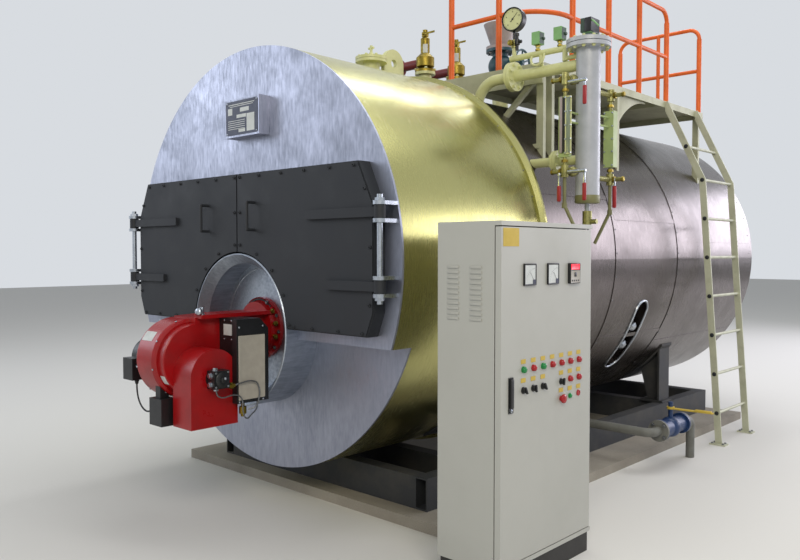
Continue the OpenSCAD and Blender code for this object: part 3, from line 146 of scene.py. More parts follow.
def turned(name, start, direction, rings, sides=32, soft=40):
    """A turned piece. rings holds (radius, distance) along the direction; a disc is drawn out ring by ring."""
    deselect()
    start, direction = Vector(start), Vector(direction).normalized()
    bpy.ops.mesh.primitive_circle_add(vertices=sides, radius=rings[0][0], fill_type="NGON")
    piece = bpy.context.object
    bpy.ops.object.mode_set(mode="EDIT")
    bpy.ops.mesh.select_mode(type="FACE")
    bpy.ops.mesh.select_all(action="SELECT")
    bpy.ops.mesh.flip_normals()
    here = rings[0]
    bpy.ops.transform.translate(value=(0, 0, here[1]))
    for ring in rings[1:]:
        bpy.ops.mesh.extrude_region_move(TRANSFORM_OT_translate={"value": (0, 0, ring[1] - here[1])})
        grow = ring[0] / here[0]
        bpy.ops.transform.resize(value=(grow, grow, 1))
        here = ring
    bpy.ops.mesh.select_all(action="SELECT")
    bpy.ops.mesh.normals_make_consistent(inside=False)
    bpy.ops.object.mode_set(mode="OBJECT")
    piece.matrix_world = Matrix.Translation(start) @ direction.to_track_quat("Z", "Y").to_matrix().to_4x4()
    settle(piece, name)
    bpy.ops.object.shade_smooth_by_angle(angle=math.radians(soft))
    return piece


def copies(master, name, places):
    """Copies of a piece at each place, each with its own mesh, joined into one object. A place is a matrix."""
    made = []
    for place in places:
        twin = master.copy()
        twin.data = master.data.copy()
        twin.matrix_world = place
        bpy.context.collection.objects.link(twin)
        made.append(twin)
    bpy.data.objects.remove(master)
    return joined(name, made)


def joined(name, parts):
    """Several meshes as one object."""
    deselect()
    for part in parts:
        part.select_set(True)
    bpy.context.view_layer.objects.active = parts[0]
    if len(parts) > 1:
        bpy.ops.object.join()
    return settle(bpy.context.object, name)


def tube(name, points, radius, sides=12, resolution=6, closed=False):
    """A bent tube: a curve through the points, made a mesh. A closed one runs back into its start."""
    curve = bpy.data.curves.new(name, "CURVE")
    curve.dimensions, curve.bevel_depth = "3D", radius
    curve.bevel_resolution, curve.resolution_u = max(1, sides // 4 - 1), resolution
    curve.use_fill_caps = True
    line = curve.splines.new("BEZIER")
    line.bezier_points.add(len(points) - 1)
    line.use_cyclic_u = closed
    for knot, point in zip(line.bezier_points, points):
        knot.co = point
        knot.handle_left_type = knot.handle_right_type = "AUTO"
    piece = bpy.data.objects.new(name, curve)
    bpy.context.collection.objects.link(piece)
    activate(piece)
    bpy.ops.object.convert(target="MESH")
    piece = bpy.context.object
    bpy.ops.object.shade_smooth()
    return settle(piece, name)


def facing(point, direction, spin=0.0):
    """The place of a copy whose own +Z looks along the direction."""
    turn = Vector(direction).normalized().to_track_quat("Z", "Y").to_matrix().to_4x4()
    return Matrix.Translation(Vector(point)) @ turn @ Matrix.Rotation(math.radians(spin), 4, "Z")


def hex_bolt(radius, height, washer=True):
    """One bolt head on its washer, looking along +Z, with the head's top corners broken."""
    deselect()
    bpy.ops.mesh.primitive_cylinder_add(vertices=6, radius=radius, depth=height, location=(0, 0, height / 2))
    head = settle(bpy.context.object, "bolt")
    pick_faces(head, lambda middle, normal: normal.z > 0.9)
    bpy.ops.mesh.inset(thickness=radius * 0.14)
    bpy.ops.transform.translate(value=(0, 0, height * 0.14))
    leave(head)
    if not washer:
        return head
    bpy.ops.mesh.primitive_cylinder_add(vertices=12, radius=radius * 1.35, depth=height * 0.3,
                                        location=(0, 0, height * 0.1))
    return joined("bolt", [head, settle(bpy.context.object, "washer")])


def finish(piece, material, body):
    """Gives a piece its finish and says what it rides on."""
    piece.data.materials.clear()
    piece.data.materials.append(material)
    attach(piece, body)
    print(piece.name, len(piece.data.polygons), "faces")
    return piece


def hollow_block(name, low, high, side, edge, depth, bevel=0.002):
    """A rounded box whose face toward side is inset by edge and sunk by depth, as a framed window is."""
    piece = block(name, low, high, bevel)
    side = Vector(side)
    far = max(Vector(v.co).dot(side) for v in piece.data.vertices)
    pick_faces(piece, lambda spot, normal: normal.dot(side) > 0.99 and spot.dot(side) > far - 1e-5)
    bpy.ops.mesh.inset(thickness=edge)
    bpy.ops.transform.translate(value=-side * depth)
    leave(piece, 30)
    return piece


print("helpers ready")

# %% [markdown]
# ## Finishes
# Each finish is named for the real material. Its colour is written as an sRGB hex value, because that is what
# an eye reads off a colour chart, and one function turns it to the linear numbers that the shader wants.
# A second function adds a node with its settings and its wires, and a third lays colour and relief on a shader.

# %% Helpers for materials
def linear(code):
    """sRGB hex to the linear colour that shader sockets take."""
    parts = [int(code[i:i + 2], 16) / 255 for i in (0, 2, 4)]
    return tuple(c / 12.92 if c <= 0.04045 else ((c + 0.055) / 1.055) ** 2.4 for c in parts) + (1.0,)


def add_node(tree, kind, values=None, wires=None, **settings):
    """A node with its settings, its typed-in values and the wires that come into it."""
    node = tree.nodes.new(kind)
    for key, value in settings.items():
        setattr(node, key, value)
    for key, value in (values or {}).items():
        node.inputs[key].default_value = value
    for key, source in (wires or {}).items():
        tree.links.new(source, node.inputs[key])
    return node


def blank(name):
    """A new material with its tree, its shader and the object's own coordinates."""
    material = bpy.data.materials.new(name)
    material.use_nodes = True
    tree = material.node_tree
    shader = tree.nodes["Principled BSDF"]
    where = add_node(tree, "ShaderNodeTexCoord").outputs["Object"]
    return material, tree, shader, where


def lay_on(tree, shader, factor, colours, relief, strength, depth):
    """Wires two mixed colours and a fine relief to the shader. A Mix node takes its colours at sockets 6 and 7."""
    mixed = add_node(tree, "ShaderNodeMix", {6: colours[0], 7: colours[1]}, {"Factor": factor}, data_type="RGBA")
    tree.links.new(mixed.outputs[2], shader.inputs["Base Color"])
    bump = add_node(tree, "ShaderNodeBump", {"Strength": strength, "Distance": depth}, {"Height": relief})
    tree.links.new(bump.outputs["Normal"], shader.inputs["Normal"])


print("white is", linear("FFFFFF"))

# %% [markdown]
# ### Painted steel
# Brushed or sprayed alkyd enamel is a smooth plastic skin over steel. Close up it has a fine orange peel about
# 4 mm across, its gloss changes from patch to patch, and dust and grease make slow stains about a hand wide.
# The same skin covers the burner, the rails and the cabinet, so one function takes the colour, the stain and the gloss.

# %% Painted steel in many colours
def enamel(name, paint, stain, gloss, peel, dirt, patch):
    """Paint with stains and flecks. Peel and patch are sizes in millimetres, dirt is how far the stain covers."""
    material, tree, shader, where = blank(name)
    slow = add_node(tree, "ShaderNodeTexNoise", {"Scale": 1000 / patch, "Detail": 6.0, "Roughness": 0.62},
                    {"Vector": where})
    cloud = add_node(tree, "ShaderNodeMapRange", {"From Min": 0.45, "From Max": 0.75, "To Min": 0.0, "To Max": dirt},
                     {"Value": slow.outputs["Fac"]})
    speck = add_node(tree, "ShaderNodeTexNoise", {"Scale": 1000 / 9.0, "Detail": 3.0, "Roughness": 0.7},
                     {"Vector": where})
    fleck = add_node(tree, "ShaderNodeMapRange", {"From Min": 0.62, "From Max": 0.74, "To Min": 0.0,
                                                  "To Max": dirt * 0.8}, {"Value": speck.outputs["Fac"]})
    both = add_node(tree, "ShaderNodeMath", wires={0: cloud.outputs["Result"], 1: fleck.outputs["Result"]},
                    operation="MAXIMUM")
    shine = add_node(tree, "ShaderNodeMapRange", {"To Min": gloss * 0.8, "To Max": min(1.0, gloss * 1.5)},
                     {"Value": slow.outputs["Fac"]})
    tree.links.new(shine.outputs["Result"], shader.inputs["Roughness"])
    skin = add_node(tree, "ShaderNodeTexNoise", {"Scale": 1000 / peel, "Detail": 2.0}, {"Vector": where})
    lay_on(tree, shader, both.outputs[0], (linear(paint), linear(stain)), skin.outputs["Fac"], 0.18, 0.0006)
    shader.inputs["IOR"].default_value = 1.5
    return material


burner_red_enamel = enamel("burner_red_enamel", "9A0B10", "5E0A0C", 0.26, 5.0, 0.45, 140.0)
door_black_paint = enamel("door_black_heat_paint", "171A1F", "262A31", 0.55, 6.0, 0.6, 220.0)
rail_orange_enamel = enamel("rail_orange_enamel", "DC6008", "A63F08", 0.42, 4.0, 0.5, 160.0)
ladder_cream_paint = enamel("ladder_cream_paint", "BBBDA6", "86866E", 0.45, 4.0, 0.5, 120.0)
walkway_grey_paint = enamel("walkway_grey_paint", "B0B194", "84846C", 0.5, 4.0, 0.5, 160.0)
skid_black_primer = enamel("skid_black_primer", "2E3033", "55524C", 0.6, 5.0, 0.7, 240.0)
cabinet_powder_coat = enamel("cabinet_grey_powder_coat", "AFB0AA", "9C9C94", 0.42, 2.5, 0.25, 400.0)
cabinet_base_paint = enamel("cabinet_base_dark_paint", "2C2B29", "1E1D1B", 0.55, 3.0, 0.4, 150.0)
silver_pipe_paint = enamel("silver_pipe_paint", "C9CB94", "9D9C64", 0.32, 3.0, 0.4, 90.0)
column_silver_paint = enamel("column_silver_paint", "B0B4BC", "858990", 0.3, 3.0, 0.35, 120.0)
valve_teal_enamel = enamel("valve_teal_enamel", "1F4650", "142A30", 0.35, 5.0, 0.5, 110.0)
valve_blue_enamel = enamel("valve_blue_enamel", "17335F", "101C33", 0.35, 5.0, 0.5, 90.0)
float_green_enamel = enamel("float_head_green_enamel", "33483A", "1E2A22", 0.35, 4.0, 0.4, 90.0)
switch_green_enamel = enamel("switch_green_enamel", "7CAB6E", "4F7345", 0.4, 3.0, 0.3, 70.0)
grey_pipe_paint = enamel("grey_pipe_paint", "6F706B", "4A4843", 0.5, 3.0, 0.5, 90.0)
yellow_tag_paint = enamel("yellow_tag_paint", "C4A93F", "A08A35", 0.5, 2.0, 0.3, 60.0)
outlet_red_enamel = enamel("outlet_red_enamel", "6E1512", "42100E", 0.4, 4.0, 0.5, 100.0)
reducer_grey_primer = enamel("reducer_grey_primer", "A09593", "766B68", 0.4, 4.0, 0.5, 100.0)
gauge_pale_green = enamel("gauge_pale_green_enamel", "9DAE72", "6F7C50", 0.4, 3.0, 0.4, 80.0)
drain_olive_paint = enamel("drain_olive_paint", "77764F", "505036", 0.45, 3.0, 0.5, 60.0)
print("painted finishes", len(bpy.data.materials))

# %% [markdown]
# ### Rolled sheet, brushed sheet and bare steel
# The jackets are thin stainless sheet off a coil. Rolling leaves hair lines that run round the shell, so the noise is
# stretched across Y and fine along it. Real lines are a tenth of a millimetre apart; here they are drawn 3 to 18 mm
# apart so that they show in the picture. The front jacket is bright, and its yellow tint is a painted reflection of
# yellow lamplight. The rear one is duller, and its darker pinkish grey is a painted dark reflection of the room.
# The smoke-box plate has been wiped and scratched up and down.

# %% Bare sheet and steel
def sheet_metal(name, colour, shade, rough, stretch, streak, patch, scratch, metal=1.0):
    """Bare metal with drawn lines and slow patches. Streak and patch are sizes in millimetres."""
    material, tree, shader, where = blank(name)
    drawn = add_node(tree, "ShaderNodeMapping", {"Scale": stretch}, {"Vector": where})
    lines = add_node(tree, "ShaderNodeTexNoise", {"Scale": 1000 / streak, "Detail": 4.0, "Roughness": 0.6},
                     {"Vector": drawn.outputs["Vector"]})
    slow = add_node(tree, "ShaderNodeTexNoise", {"Scale": 1000 / patch, "Detail": 5.0, "Roughness": 0.65,
                                                 "Distortion": 0.6}, {"Vector": where})
    both = add_node(tree, "ShaderNodeMath", wires={0: lines.outputs["Fac"], 1: slow.outputs["Fac"]}, operation="ADD")
    dull = add_node(tree, "ShaderNodeMapRange", {"From Min": 0.75, "From Max": 1.3}, {"Value": both.outputs[0]})
    shine = add_node(tree, "ShaderNodeMapRange", {"From Min": 0.7, "From Max": 1.35, "To Min": rough * 0.75,
                                                  "To Max": rough * 1.35}, {"Value": both.outputs[0]})
    tree.links.new(shine.outputs["Result"], shader.inputs["Roughness"])
    lay_on(tree, shader, dull.outputs["Result"], (linear(colour), linear(shade)), lines.outputs["Fac"], scratch, 0.0008)
    shader.inputs["Metallic"].default_value = metal
    return material


NO_GRAIN = (1.0, 1.0, 1.0)
# The front jacket's pale yellow colour is a painted reflection of yellow lamplight laid into the sheet's colour.
front_jacket_yellow_reflection_sheet = sheet_metal("front_jacket_bright_sheet_painted_yellow_reflection", "BFBB7C", "ABA76C", 0.25, (0.04, 1.0, 0.04), 3.0, 600.0,
                                 0.05)
# The rear jacket's dark pinkish grey is a painted dark reflection. The rear end, the handhole and the laps take it too.
rear_jacket_dark_reflection_sheet = sheet_metal("rear_jacket_brushed_sheet_painted_dark_reflection", "6B6461", "544D4A", 0.28, (0.06, 1.0, 0.06), 4.0, 520.0,
                                0.08)
front_plate_sheet = sheet_metal("smoke_box_wiped_sheet", "A9ACBA", "959AA8", 0.46, (1.0, 1.0, 0.22), 16.0, 300.0, 0.1)
tunnel_turned_steel = sheet_metal("tunnel_turned_steel", "B9C0CA", "8F98A4", 0.38, (1.0, 0.15, 1.0), 18.0, 200.0, 0.12)
bright_steel = sheet_metal("bright_hinge_steel", "C6CBD2", "99A0A8", 0.28, (1.0, 1.0, 0.2), 8.0, 60.0, 0.08)
dull_bolt_steel = sheet_metal("dull_bolt_steel", "8B8D8F", "5E6062", 0.45, NO_GRAIN, 4.0, 30.0, 0.15)
black_boiler_plate = sheet_metal("black_boiler_plate", "43454A", "2E2F33", 0.62, NO_GRAIN, 12.0, 160.0, 0.3, 0.85)
cock_dull_bronze = sheet_metal("cock_dull_bronze", "A8A468", "66643C", 0.42, NO_GRAIN, 6.0, 40.0, 0.3, 0.7)
valve_brass_cast = sheet_metal("safety_valve_cast_brass", "98863A", "695A26", 0.42, NO_GRAIN, 5.0, 50.0, 0.3)
print("sheet finishes made")

# %% [markdown]
# ### Concrete, plastics, glass and lamps
# Float-finished concrete has sand grains of 1 to 2 mm and darker damp patches. Moulded ABS and phenolic parts are
# nearly black with a soft sheen. Lamp lenses and gauge glasses are clear or tinted and smooth.

# %% Concrete, plastics and lenses
def concrete(name):
    """Cement with fine sand grains and large damp patches."""
    material, tree, shader, where = blank(name)
    grain = add_node(tree, "ShaderNodeTexNoise", {"Scale": 1000 / 6.0, "Detail": 8.0, "Roughness": 0.75},
                     {"Vector": where})
    damp = add_node(tree, "ShaderNodeTexNoise", {"Scale": 1000 / 500.0, "Detail": 5.0, "Roughness": 0.6},
                    {"Vector": where})
    both = add_node(tree, "ShaderNodeMath", wires={0: grain.outputs["Fac"], 1: damp.outputs["Fac"]}, operation="ADD")
    ramp = add_node(tree, "ShaderNodeValToRGB", wires={"Fac": add_node(
        tree, "ShaderNodeMapRange", {"From Min": 0.7, "From Max": 1.35}, {"Value": both.outputs[0]}).outputs["Result"]})
    ramp.color_ramp.elements[0].color, ramp.color_ramp.elements[1].color = linear("7B756B"), linear("A8A296")
    tree.links.new(ramp.outputs["Color"], shader.inputs["Base Color"])
    bump = add_node(tree, "ShaderNodeBump", {"Strength": 0.5, "Distance": 0.002}, {"Height": grain.outputs["Fac"]})
    tree.links.new(bump.outputs["Normal"], shader.inputs["Normal"])
    shader.inputs["Roughness"].default_value = 0.9
    return material


def moulded(name, colour, gloss, grain=1.6, glow=0.0, clear=0.0):
    """Plastic or glass with fine grain in millimetres. It may glow or let light through."""
    material, tree, shader, where = blank(name)
    pits = add_node(tree, "ShaderNodeTexNoise", {"Scale": 1000 / grain, "Detail": 2.0}, {"Vector": where})
    haze = add_node(tree, "ShaderNodeTexNoise", {"Scale": 25.0, "Detail": 3.0}, {"Vector": where})
    shine = add_node(tree, "ShaderNodeMapRange", {"To Min": gloss * 0.75, "To Max": gloss * 1.3},
                     {"Value": haze.outputs["Fac"]})
    tree.links.new(shine.outputs["Result"], shader.inputs["Roughness"])
    tone = linear(colour)
    darker = tuple(c * 0.72 for c in tone[:3]) + (1.0,)
    lay_on(tree, shader, haze.outputs["Fac"], (tone, darker), pits.outputs["Fac"], 0.12, 0.0003)
    shader.inputs["Transmission Weight"].default_value = clear
    if glow:
        shader.inputs["Emission Color"].default_value = tone
        shader.inputs["Emission Strength"].default_value = glow
    return material


floated_concrete = concrete("floated_concrete")
black_phenolic = moulded("black_phenolic_moulding", "17181A", 0.38)
black_rubber = moulded("black_rubber_sleeve", "1C1D1F", 0.6, 3.0)
cover_beige_abs = moulded("cover_beige_abs", "B0ABA0", 0.45, 2.0)
# The red and green lens finishes glow faintly. The stop, start and reset buttons wear them too; on these, which hold no
# lamp, the glow is painted light.
lens_red = moulded("lamp_lens_red", "A0141C", 0.18, 2.0, 0.08)
lens_green = moulded("lamp_lens_green", "12803F", 0.18, 2.0, 0.08)
led_red = moulded("display_red_led", "FF2A3C", 0.3, 2.0, 1.2)
dial_white = moulded("dial_white_card", "D5DAD8", 0.5, 1.0)
dial_cream = moulded("dial_cream_card", "D9DCA6", 0.5, 1.0)
gauge_glass = moulded("gauge_glass_tube", "B9C8BE", 0.08, 4.0, 0.0, 0.6)
lever_red_grip = moulded("lever_red_vinyl_grip", "A3222A", 0.4, 2.0)
nameplate_dark = moulded("nameplate_dark_anodised", "232A44", 0.4, 2.0)
print("materials", len(bpy.data.materials))

# %% [markdown]
# ### Finishes for the CAD parts
# A CAD part whose shape is already right only needs its finish, so its material slots are filled and its mesh is left
# alone.

# %% Dress the CAD parts
finishes = {
    floated_concrete: ["plinth"],
    skid_black_primer: ["skid", "front_legs", "rear_legs"],
    black_boiler_plate: ["shell", "front_tube_plate", "rear_tube_plate", "smoke_tubes", "furnace"],
    front_plate_sheet: ["smoke_box", "lower_front", "raised_plate"],
    tunnel_turned_steel: ["burner_tunnel"],
    front_jacket_yellow_reflection_sheet: ["front_cladding"],
    rear_jacket_dark_reflection_sheet: ["rear_cladding", "rear_end", "handhole"],
    silver_pipe_paint: ["flue_outlet", "vent_nozzle", "lifting_lug", "valve_nozzles", "column_pipes",
                        "pressure_header"],
    outlet_red_enamel: ["safety_outlets"],
    door_black_paint: ["door_left", "door_right"],
    bright_steel: ["door_hinges"],
    walkway_grey_paint: ["walkway_deck", "walkway_supports"],
    rail_orange_enamel: ["guard_rails"],
    ladder_cream_paint: ["ladder"],
    valve_brass_cast: ["safety_valves"],
    valve_teal_enamel: ["steam_valve"],
    column_silver_paint: ["water_column"],
    reducer_grey_primer: ["steam_reducer"],
    cock_dull_bronze: ["gauge_cocks"],
    gauge_pale_green: ["level_gauges"],
    drain_olive_paint: ["gauge_drains"],
    yellow_tag_paint: ["blowdown_lever"],
    black_phenolic: ["pressure_gauge", "fan_motor", "burner_control", "oil_pump", "damper_drive"],
    switch_green_enamel: ["pressure_switches"],
    grey_pipe_paint: ["blowdown_pipe"],
    valve_blue_enamel: ["blowdown_valve"],
    burner_red_enamel: ["burner_flange", "burner_body", "air_intake"],
    cabinet_powder_coat: ["control_cabinet", "cabinet_door"],
}
for coat, names in finishes.items():
    for name in names:
        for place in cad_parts[name].material_slots:
            place.material = coat
print("dressed", sum(len(names) for names in finishes.values()), "of", len(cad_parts))

# %% [markdown]
# ## Bolts round the smoke-box doors
# Each door is a steel skin over an insulating block, held by short socket screws about 180 mm apart along its rim,
# round the burner arch and down the seam. The screw is modelled once: a disc is drawn out into a head with a broken
# edge and a hollow for the key. Its copies then follow the rim, and each door's screws ride with that door.

# %% One socket screw, and the rim that it is copied along
DOOR_TOP, DOOR_FOOT = 0.466, -0.343
ARCH_R, ARCH_UP = 0.464, -0.390


def socket_screw(radius, height):
    """A round screw head looking along +Z, with a key hollow in its top."""
    hollow = radius * 0.5
    return turned("screw", HOME, UP, [
        (radius, 0), (radius, height * 0.75), (radius * 0.85, height), (hollow, height), (hollow * 0.9, height * 0.5)],
        sides=12)


def rim_places(side, seam):
    """Screw centres on a door, mirrored by side: top edge, seam, burner arch, bottom edge and hinge edge."""
    rim = [(x, DOOR_TOP) for x in (0.205, 0.395, 0.585, 0.780, 0.955)]
    rim += [(seam, z) for z in (DOOR_TOP, 0.270, 0.088)]
    rim += [(ARCH_R * clock(angle).x, ARCH_UP + ARCH_R * clock(angle).z) for angle in (23, 43, 63, 83)]
    rim += [(x, DOOR_FOOT) for x in (0.500, 0.646, 0.841, 1.011)]
    rim += [(1.066, 0.070), (1.030, 0.350), (1.062, -0.205)]
    return [facing(at(side * x, DOOR_Y - FACE_Y, z), FRONT) for x, z in rim]


for body, side, seam in (("right_door", 1, 0.028), ("left_door", -1, 0.022)):
    screws = copies(socket_screw(0.0085, 0.008), body + "_rim_screws", rim_places(side, seam))
    finish(screws, door_black_paint, body)

# %% [markdown]
# ## The blank plate on the smoke box
# A raised sheet box carries a thin anodised plate with rounded corners. It is left bare: pale fields where the etching
# leaves the metal open, and thin ruled lines with nothing written on them. Each field is a thin block, and a row of the
# table gives its left, right, top and bottom as shares of the plate.

# %% Anodised plate with empty fields
PLATE_EDGE, RIVET_IN = 0.012, 0.009
plate_low, plate_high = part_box("raised_plate")
plate_y = plate_low[1] + 0.0015
middle = ((plate_low[0] + plate_high[0]) / 2, (plate_low[2] + plate_high[2]) / 2)
half_w, half_h = (plate_high[0] - plate_low[0]) / 2 - PLATE_EDGE, (plate_high[2] - plate_low[2]) / 2 - PLATE_EDGE


def on_plate(left, right, top, bottom, low, high, bevel=0.0004):
    """A thin block on the plate between shares of its width and height."""
    return block("field", (middle[0] + half_w * (2 * left - 1), plate_y - high, middle[1] + half_h * (1 - 2 * bottom)),
                 (middle[0] + half_w * (2 * right - 1), plate_y - low, middle[1] + half_h * (1 - 2 * top)), bevel, 1)


etched = on_plate(0, 1, 0, 1, 0, 0.0022, 0)
activate(etched)
bpy.ops.object.mode_set(mode="EDIT")
bpy.ops.mesh.select_all(action="DESELECT")
bpy.ops.mesh.select_mode(type="EDGE")
outline = bmesh.from_edit_mesh(etched.data)
for edge in outline.edges:
    edge.select = abs((edge.verts[0].co - edge.verts[1].co).normalized().y) > 0.99
bmesh.update_edit_mesh(etched.data)
bpy.ops.mesh.bevel(offset=0.016, segments=4)
leave(etched, 30)
finish(settle(etched, "etched_plate"), nameplate_dark, "boiler")

fields = [(0.66, 0.90, 0.42, 0.93), (0.34, 0.64, 0.41, 0.51), (0.40, 0.61, 0.84, 0.93), (0.45, 0.73, 0.22, 0.34),
          (0.06, 0.20, 0.20, 0.40), (0.08, 0.90, 0.09, 0.115), (0.12, 0.86, 0.145, 0.165)]
fields += [(0.06, 0.60, line, line + 0.018) for line in (0.57, 0.63, 0.69, 0.75, 0.81)]
bare_fields = joined("plate_bare_fields", [on_plate(*field, 0.0020, 0.0028) for field in fields])
finish(bare_fields, dial_white, "boiler")

rivet = turned("rivet", HOME, UP, [(0.005, 0), (0.0046, 0.0012), (0.0025, 0.0024)], sides=12)
corners = [facing((middle[0] + sx * (half_w - RIVET_IN), plate_y - 0.0022, middle[1] + sz * (half_h - RIVET_IN)), FRONT)
           for sx in (-1, 1) for sz in (-1, 1)]
finish(copies(rivet, "plate_rivets", corners), bright_steel, "boiler")
print("plate", round(2 * half_w, 3), "by", round(2 * half_h, 3))

# %% [markdown]
# ## Self-tapping screws in the jackets
# The jacket sheets are lapped and held by small pan-head screws along each lap and round each end. They are only
# 11 mm across, so each head has a few faces, and their rows tell the eye how large the drum is.

# %% Jacket screws in rings and rows
def ring_places(radius, behind):
    """Places every 8 degrees round the drum's skin, each looking straight out of it."""
    return [facing(at(0, behind, 0) + clock(angle) * radius, clock(angle)) for angle in range(-176, 181, 8)]


rear_rings = ring_places(REAR_R + 0.004, 2.175) + ring_places(REAR_R + 0.004, 3.155) + ring_places(REAR_R, 4.670)
for name, places in (("front_jacket_screws", ring_places(FRONT_R, 1.170)), ("rear_jacket_screws", rear_rings)):
    pan_head = turned("pan_head", HOME, UP, [(0.0055, 0), (0.00506, 0.0018), (0.00275, 0.003)], sides=8)
    finish(copies(pan_head, name, places), dull_bolt_steel, "boiler")

# %% [markdown]
# ## Lap strips along the rear jacket
# Rolled sheets meet in a flat lap that runs along the drum, at about two o'clock and four o'clock. A strip is a small
# rectangle, the lap's cross-section, spun a few degrees round the drum's axis. Spin closes it into a solid by itself.
# Its angle runs against the right-hand rule, so the helper turns the sign round.

# %% A rectangle spun round an axis, and the laps made with it
def swept(name, axis, centre, radii, along, turn_from, turn_by, steps=6):
    """A solid between two radii and two distances along an axis, from one angle over another, both in degrees.

    Angles start at the top, or at -Y where the axis stands upright.
    """
    deselect()
    axis = Vector(axis)
    top = Vector(FRONT if axis.z else UP)
    out = Matrix.Rotation(math.radians(turn_from), 3, axis) @ top
    bpy.ops.mesh.primitive_plane_add(size=1)
    section = bpy.context.object
    spread, length = out * (radii[1] - radii[0]), axis * (along[1] - along[0])
    spot = Vector(centre) + out * (radii[0] + radii[1]) / 2 + axis * (along[0] + along[1]) / 2
    normal = spread.cross(length).normalized()
    section.matrix_world = Matrix((
        (spread.x, length.x, normal.x, spot.x), (spread.y, length.y, normal.y, spot.y),
        (spread.z, length.z, normal.z, spot.z), (0, 0, 0, 1)))
    piece = settle(section, name)
    bpy.ops.object.mode_set(mode="EDIT")
    bpy.ops.mesh.select_all(action="SELECT")
    bpy.ops.mesh.spin(steps=steps, angle=-math.radians(turn_by), center=Vector(centre), axis=axis)
    bpy.ops.mesh.select_all(action="SELECT")
    bpy.ops.mesh.normals_make_consistent(inside=False)
    leave(piece, 30)
    return piece


laps = [swept("lap", BACK, at(0, 0, 0), (REAR_R + 0.0004, REAR_R + 0.0030), (start, end), angle, 1.6)
        for start, end, angle in ((1.245, 2.155, 68), (2.195, 3.135, 75), (3.175, 4.690, 82),
                                  (2.195, 3.135, 118), (3.175, 4.690, 124))]
finish(joined("rear_jacket_laps", laps), rear_jacket_dark_reflection_sheet, "boiler")

# %% [markdown]
# ## Burner: labels, cover and fasteners
# The burner's red castings come from the CAD model. What is added here is what a fitter touches: a beige cover on the
# control box, screws round the fan housing, a bright pin through the slide arm, plugs in the pump's ports and the two
# small oil tubes. Its labels are left bare. Small sheet parts are swept or blocked, round parts are turned.

# %% Labels, cover and pin
DRUM, MOTOR, RING = at(0, -0.410, -0.520), at(0, -0.410, -0.540), at(0, 0, -0.390)
labels = [swept("drum_label", RIGHT, DRUM, (0.2152, 0.2162), (-0.125, -0.025), 46, 15),
          swept("step_label", RIGHT, DRUM, (0.1902, 0.1912), (0.038, 0.080), 112, 15),
          block("box_label", at(0.128, -0.2615, -0.397), at(0.204, -0.2602, -0.337), 0.0005, 1)]
finish(joined("burner_bare_labels", labels), dial_white, "boiler")

cover = hollow_block("control_cover", at(0.3002, -0.290, -0.727), at(0.3085, -0.122, -0.389), RIGHT, 0.006, 0.0012,
                     0.003)
finish(cover, cover_beige_abs, "boiler")

pin = turned("arm_pin", at(0.114, -0.386, -0.283), UP, [
    (0.016, 0), (0.016, 0.005), (0.011, 0.006), (0.011, 0.026), (0.014, 0.028), (0.014, 0.036), (0.010, 0.040)], 24)
knob = turned("knob", at(0.114, -0.394, -0.267), (0.25, -1, 0.1), [
    (0.012, 0), (0.019, 0.003), (0.021, 0.007), (0.021, 0.018), (0.017, 0.024), (0.008, 0.027)], 28)
finish(joined("arm_pin", [pin, knob]), bright_steel, "boiler")

# %% Screws on the fan housing, the motor's shield and the control box
drum_screws = [facing(DRUM + Vector((along_x, 0, 0)) + clock(angle, FRONT) * 0.2148, clock(angle, FRONT))
               for along_x in (-0.138, 0.022) for angle in range(-60, 181, 40)]
drum_screws += [facing(at(0.1335 + 0.066 * k, -0.260, z), FRONT) for k in (0, 1) for z in (-0.318, -0.418, -0.735)]
drum_screws += [facing(at(0.300, y, z), RIGHT) for y in (-0.282, -0.130) for z in (-0.345, -0.737)]
small_head = turned("pan", HOME, UP, [(0.006, 0), (0.0055, 0.002), (0.003, 0.0036)], 10)
finish(copies(small_head, "burner_screws", drum_screws), bright_steel, "boiler")

shield = MOTOR + Vector((-0.1743, 0, 0))
shield_bolts = [facing(shield + clock(angle, FRONT) * 0.103, LEFT) for angle in range(22, 360, 45)]
finish(copies(hex_bolt(0.006, 0.005), "motor_shield_bolts", shield_bolts), dull_bolt_steel, "boiler")

# %% [markdown]
# ### Fins and cowl of the fan motor
# A fan-cooled motor has thin ribs along its frame and a steel cowl with a round grille. One rib is a block with its
# outer edge drawn in; its copies stand 10 degrees apart, and the grille is a set of turned rings with four spokes.

# %% Motor ribs and grille
rib = block("rib", (-0.083, -0.0016, 0.0935), (0.083, 0.0016, 0.1015), bevel=0)
pick_faces(rib, lambda spot, normal: normal.z > 0.9)
bpy.ops.transform.resize(value=(0.985, 0.5, 1))
leave(rib)
frame_middle = Matrix.Translation(MOTOR + Vector((-0.257, 0, 0)))
ribs = copies(rib, "motor_ribs", [frame_middle @ Matrix.Rotation(math.radians(angle), 4, "X")
                                  for angle in range(0, 360, 10) if not 28 < angle < 92])
finish(ribs, black_phenolic, "boiler")

grille = [turned("ring", MOTOR + Vector((-0.4003, 0, 0)), LEFT, [
    (radius - 0.005, 0), (radius - 0.005, 0.003), (radius, 0.003), (radius, 0)], 32)
    for radius in (0.030, 0.052, 0.074, 0.094)]
for k in range(4):
    spoke = block("spoke", MOTOR + Vector((-0.4023, -0.002, 0.012)), MOTOR + Vector((-0.4003, 0.002, 0.092)), 0.0005, 1)
    activate(spoke)
    bpy.ops.transform.rotate(value=math.radians(90 * k + 45), orient_axis="X", center_override=MOTOR)
    grille.append(settle(spoke, "spoke"))
finish(joined("motor_grille", grille), dull_bolt_steel, "boiler")

# %% [markdown]
# ### Cable from the motor's terminal box to the damper drive
# The rubber cable leaves a gland under the terminal box, hangs in one slack curve and goes into the damper drive.
# It is 9 mm thick, fastened at both ends, and its middle sags under its own weight.

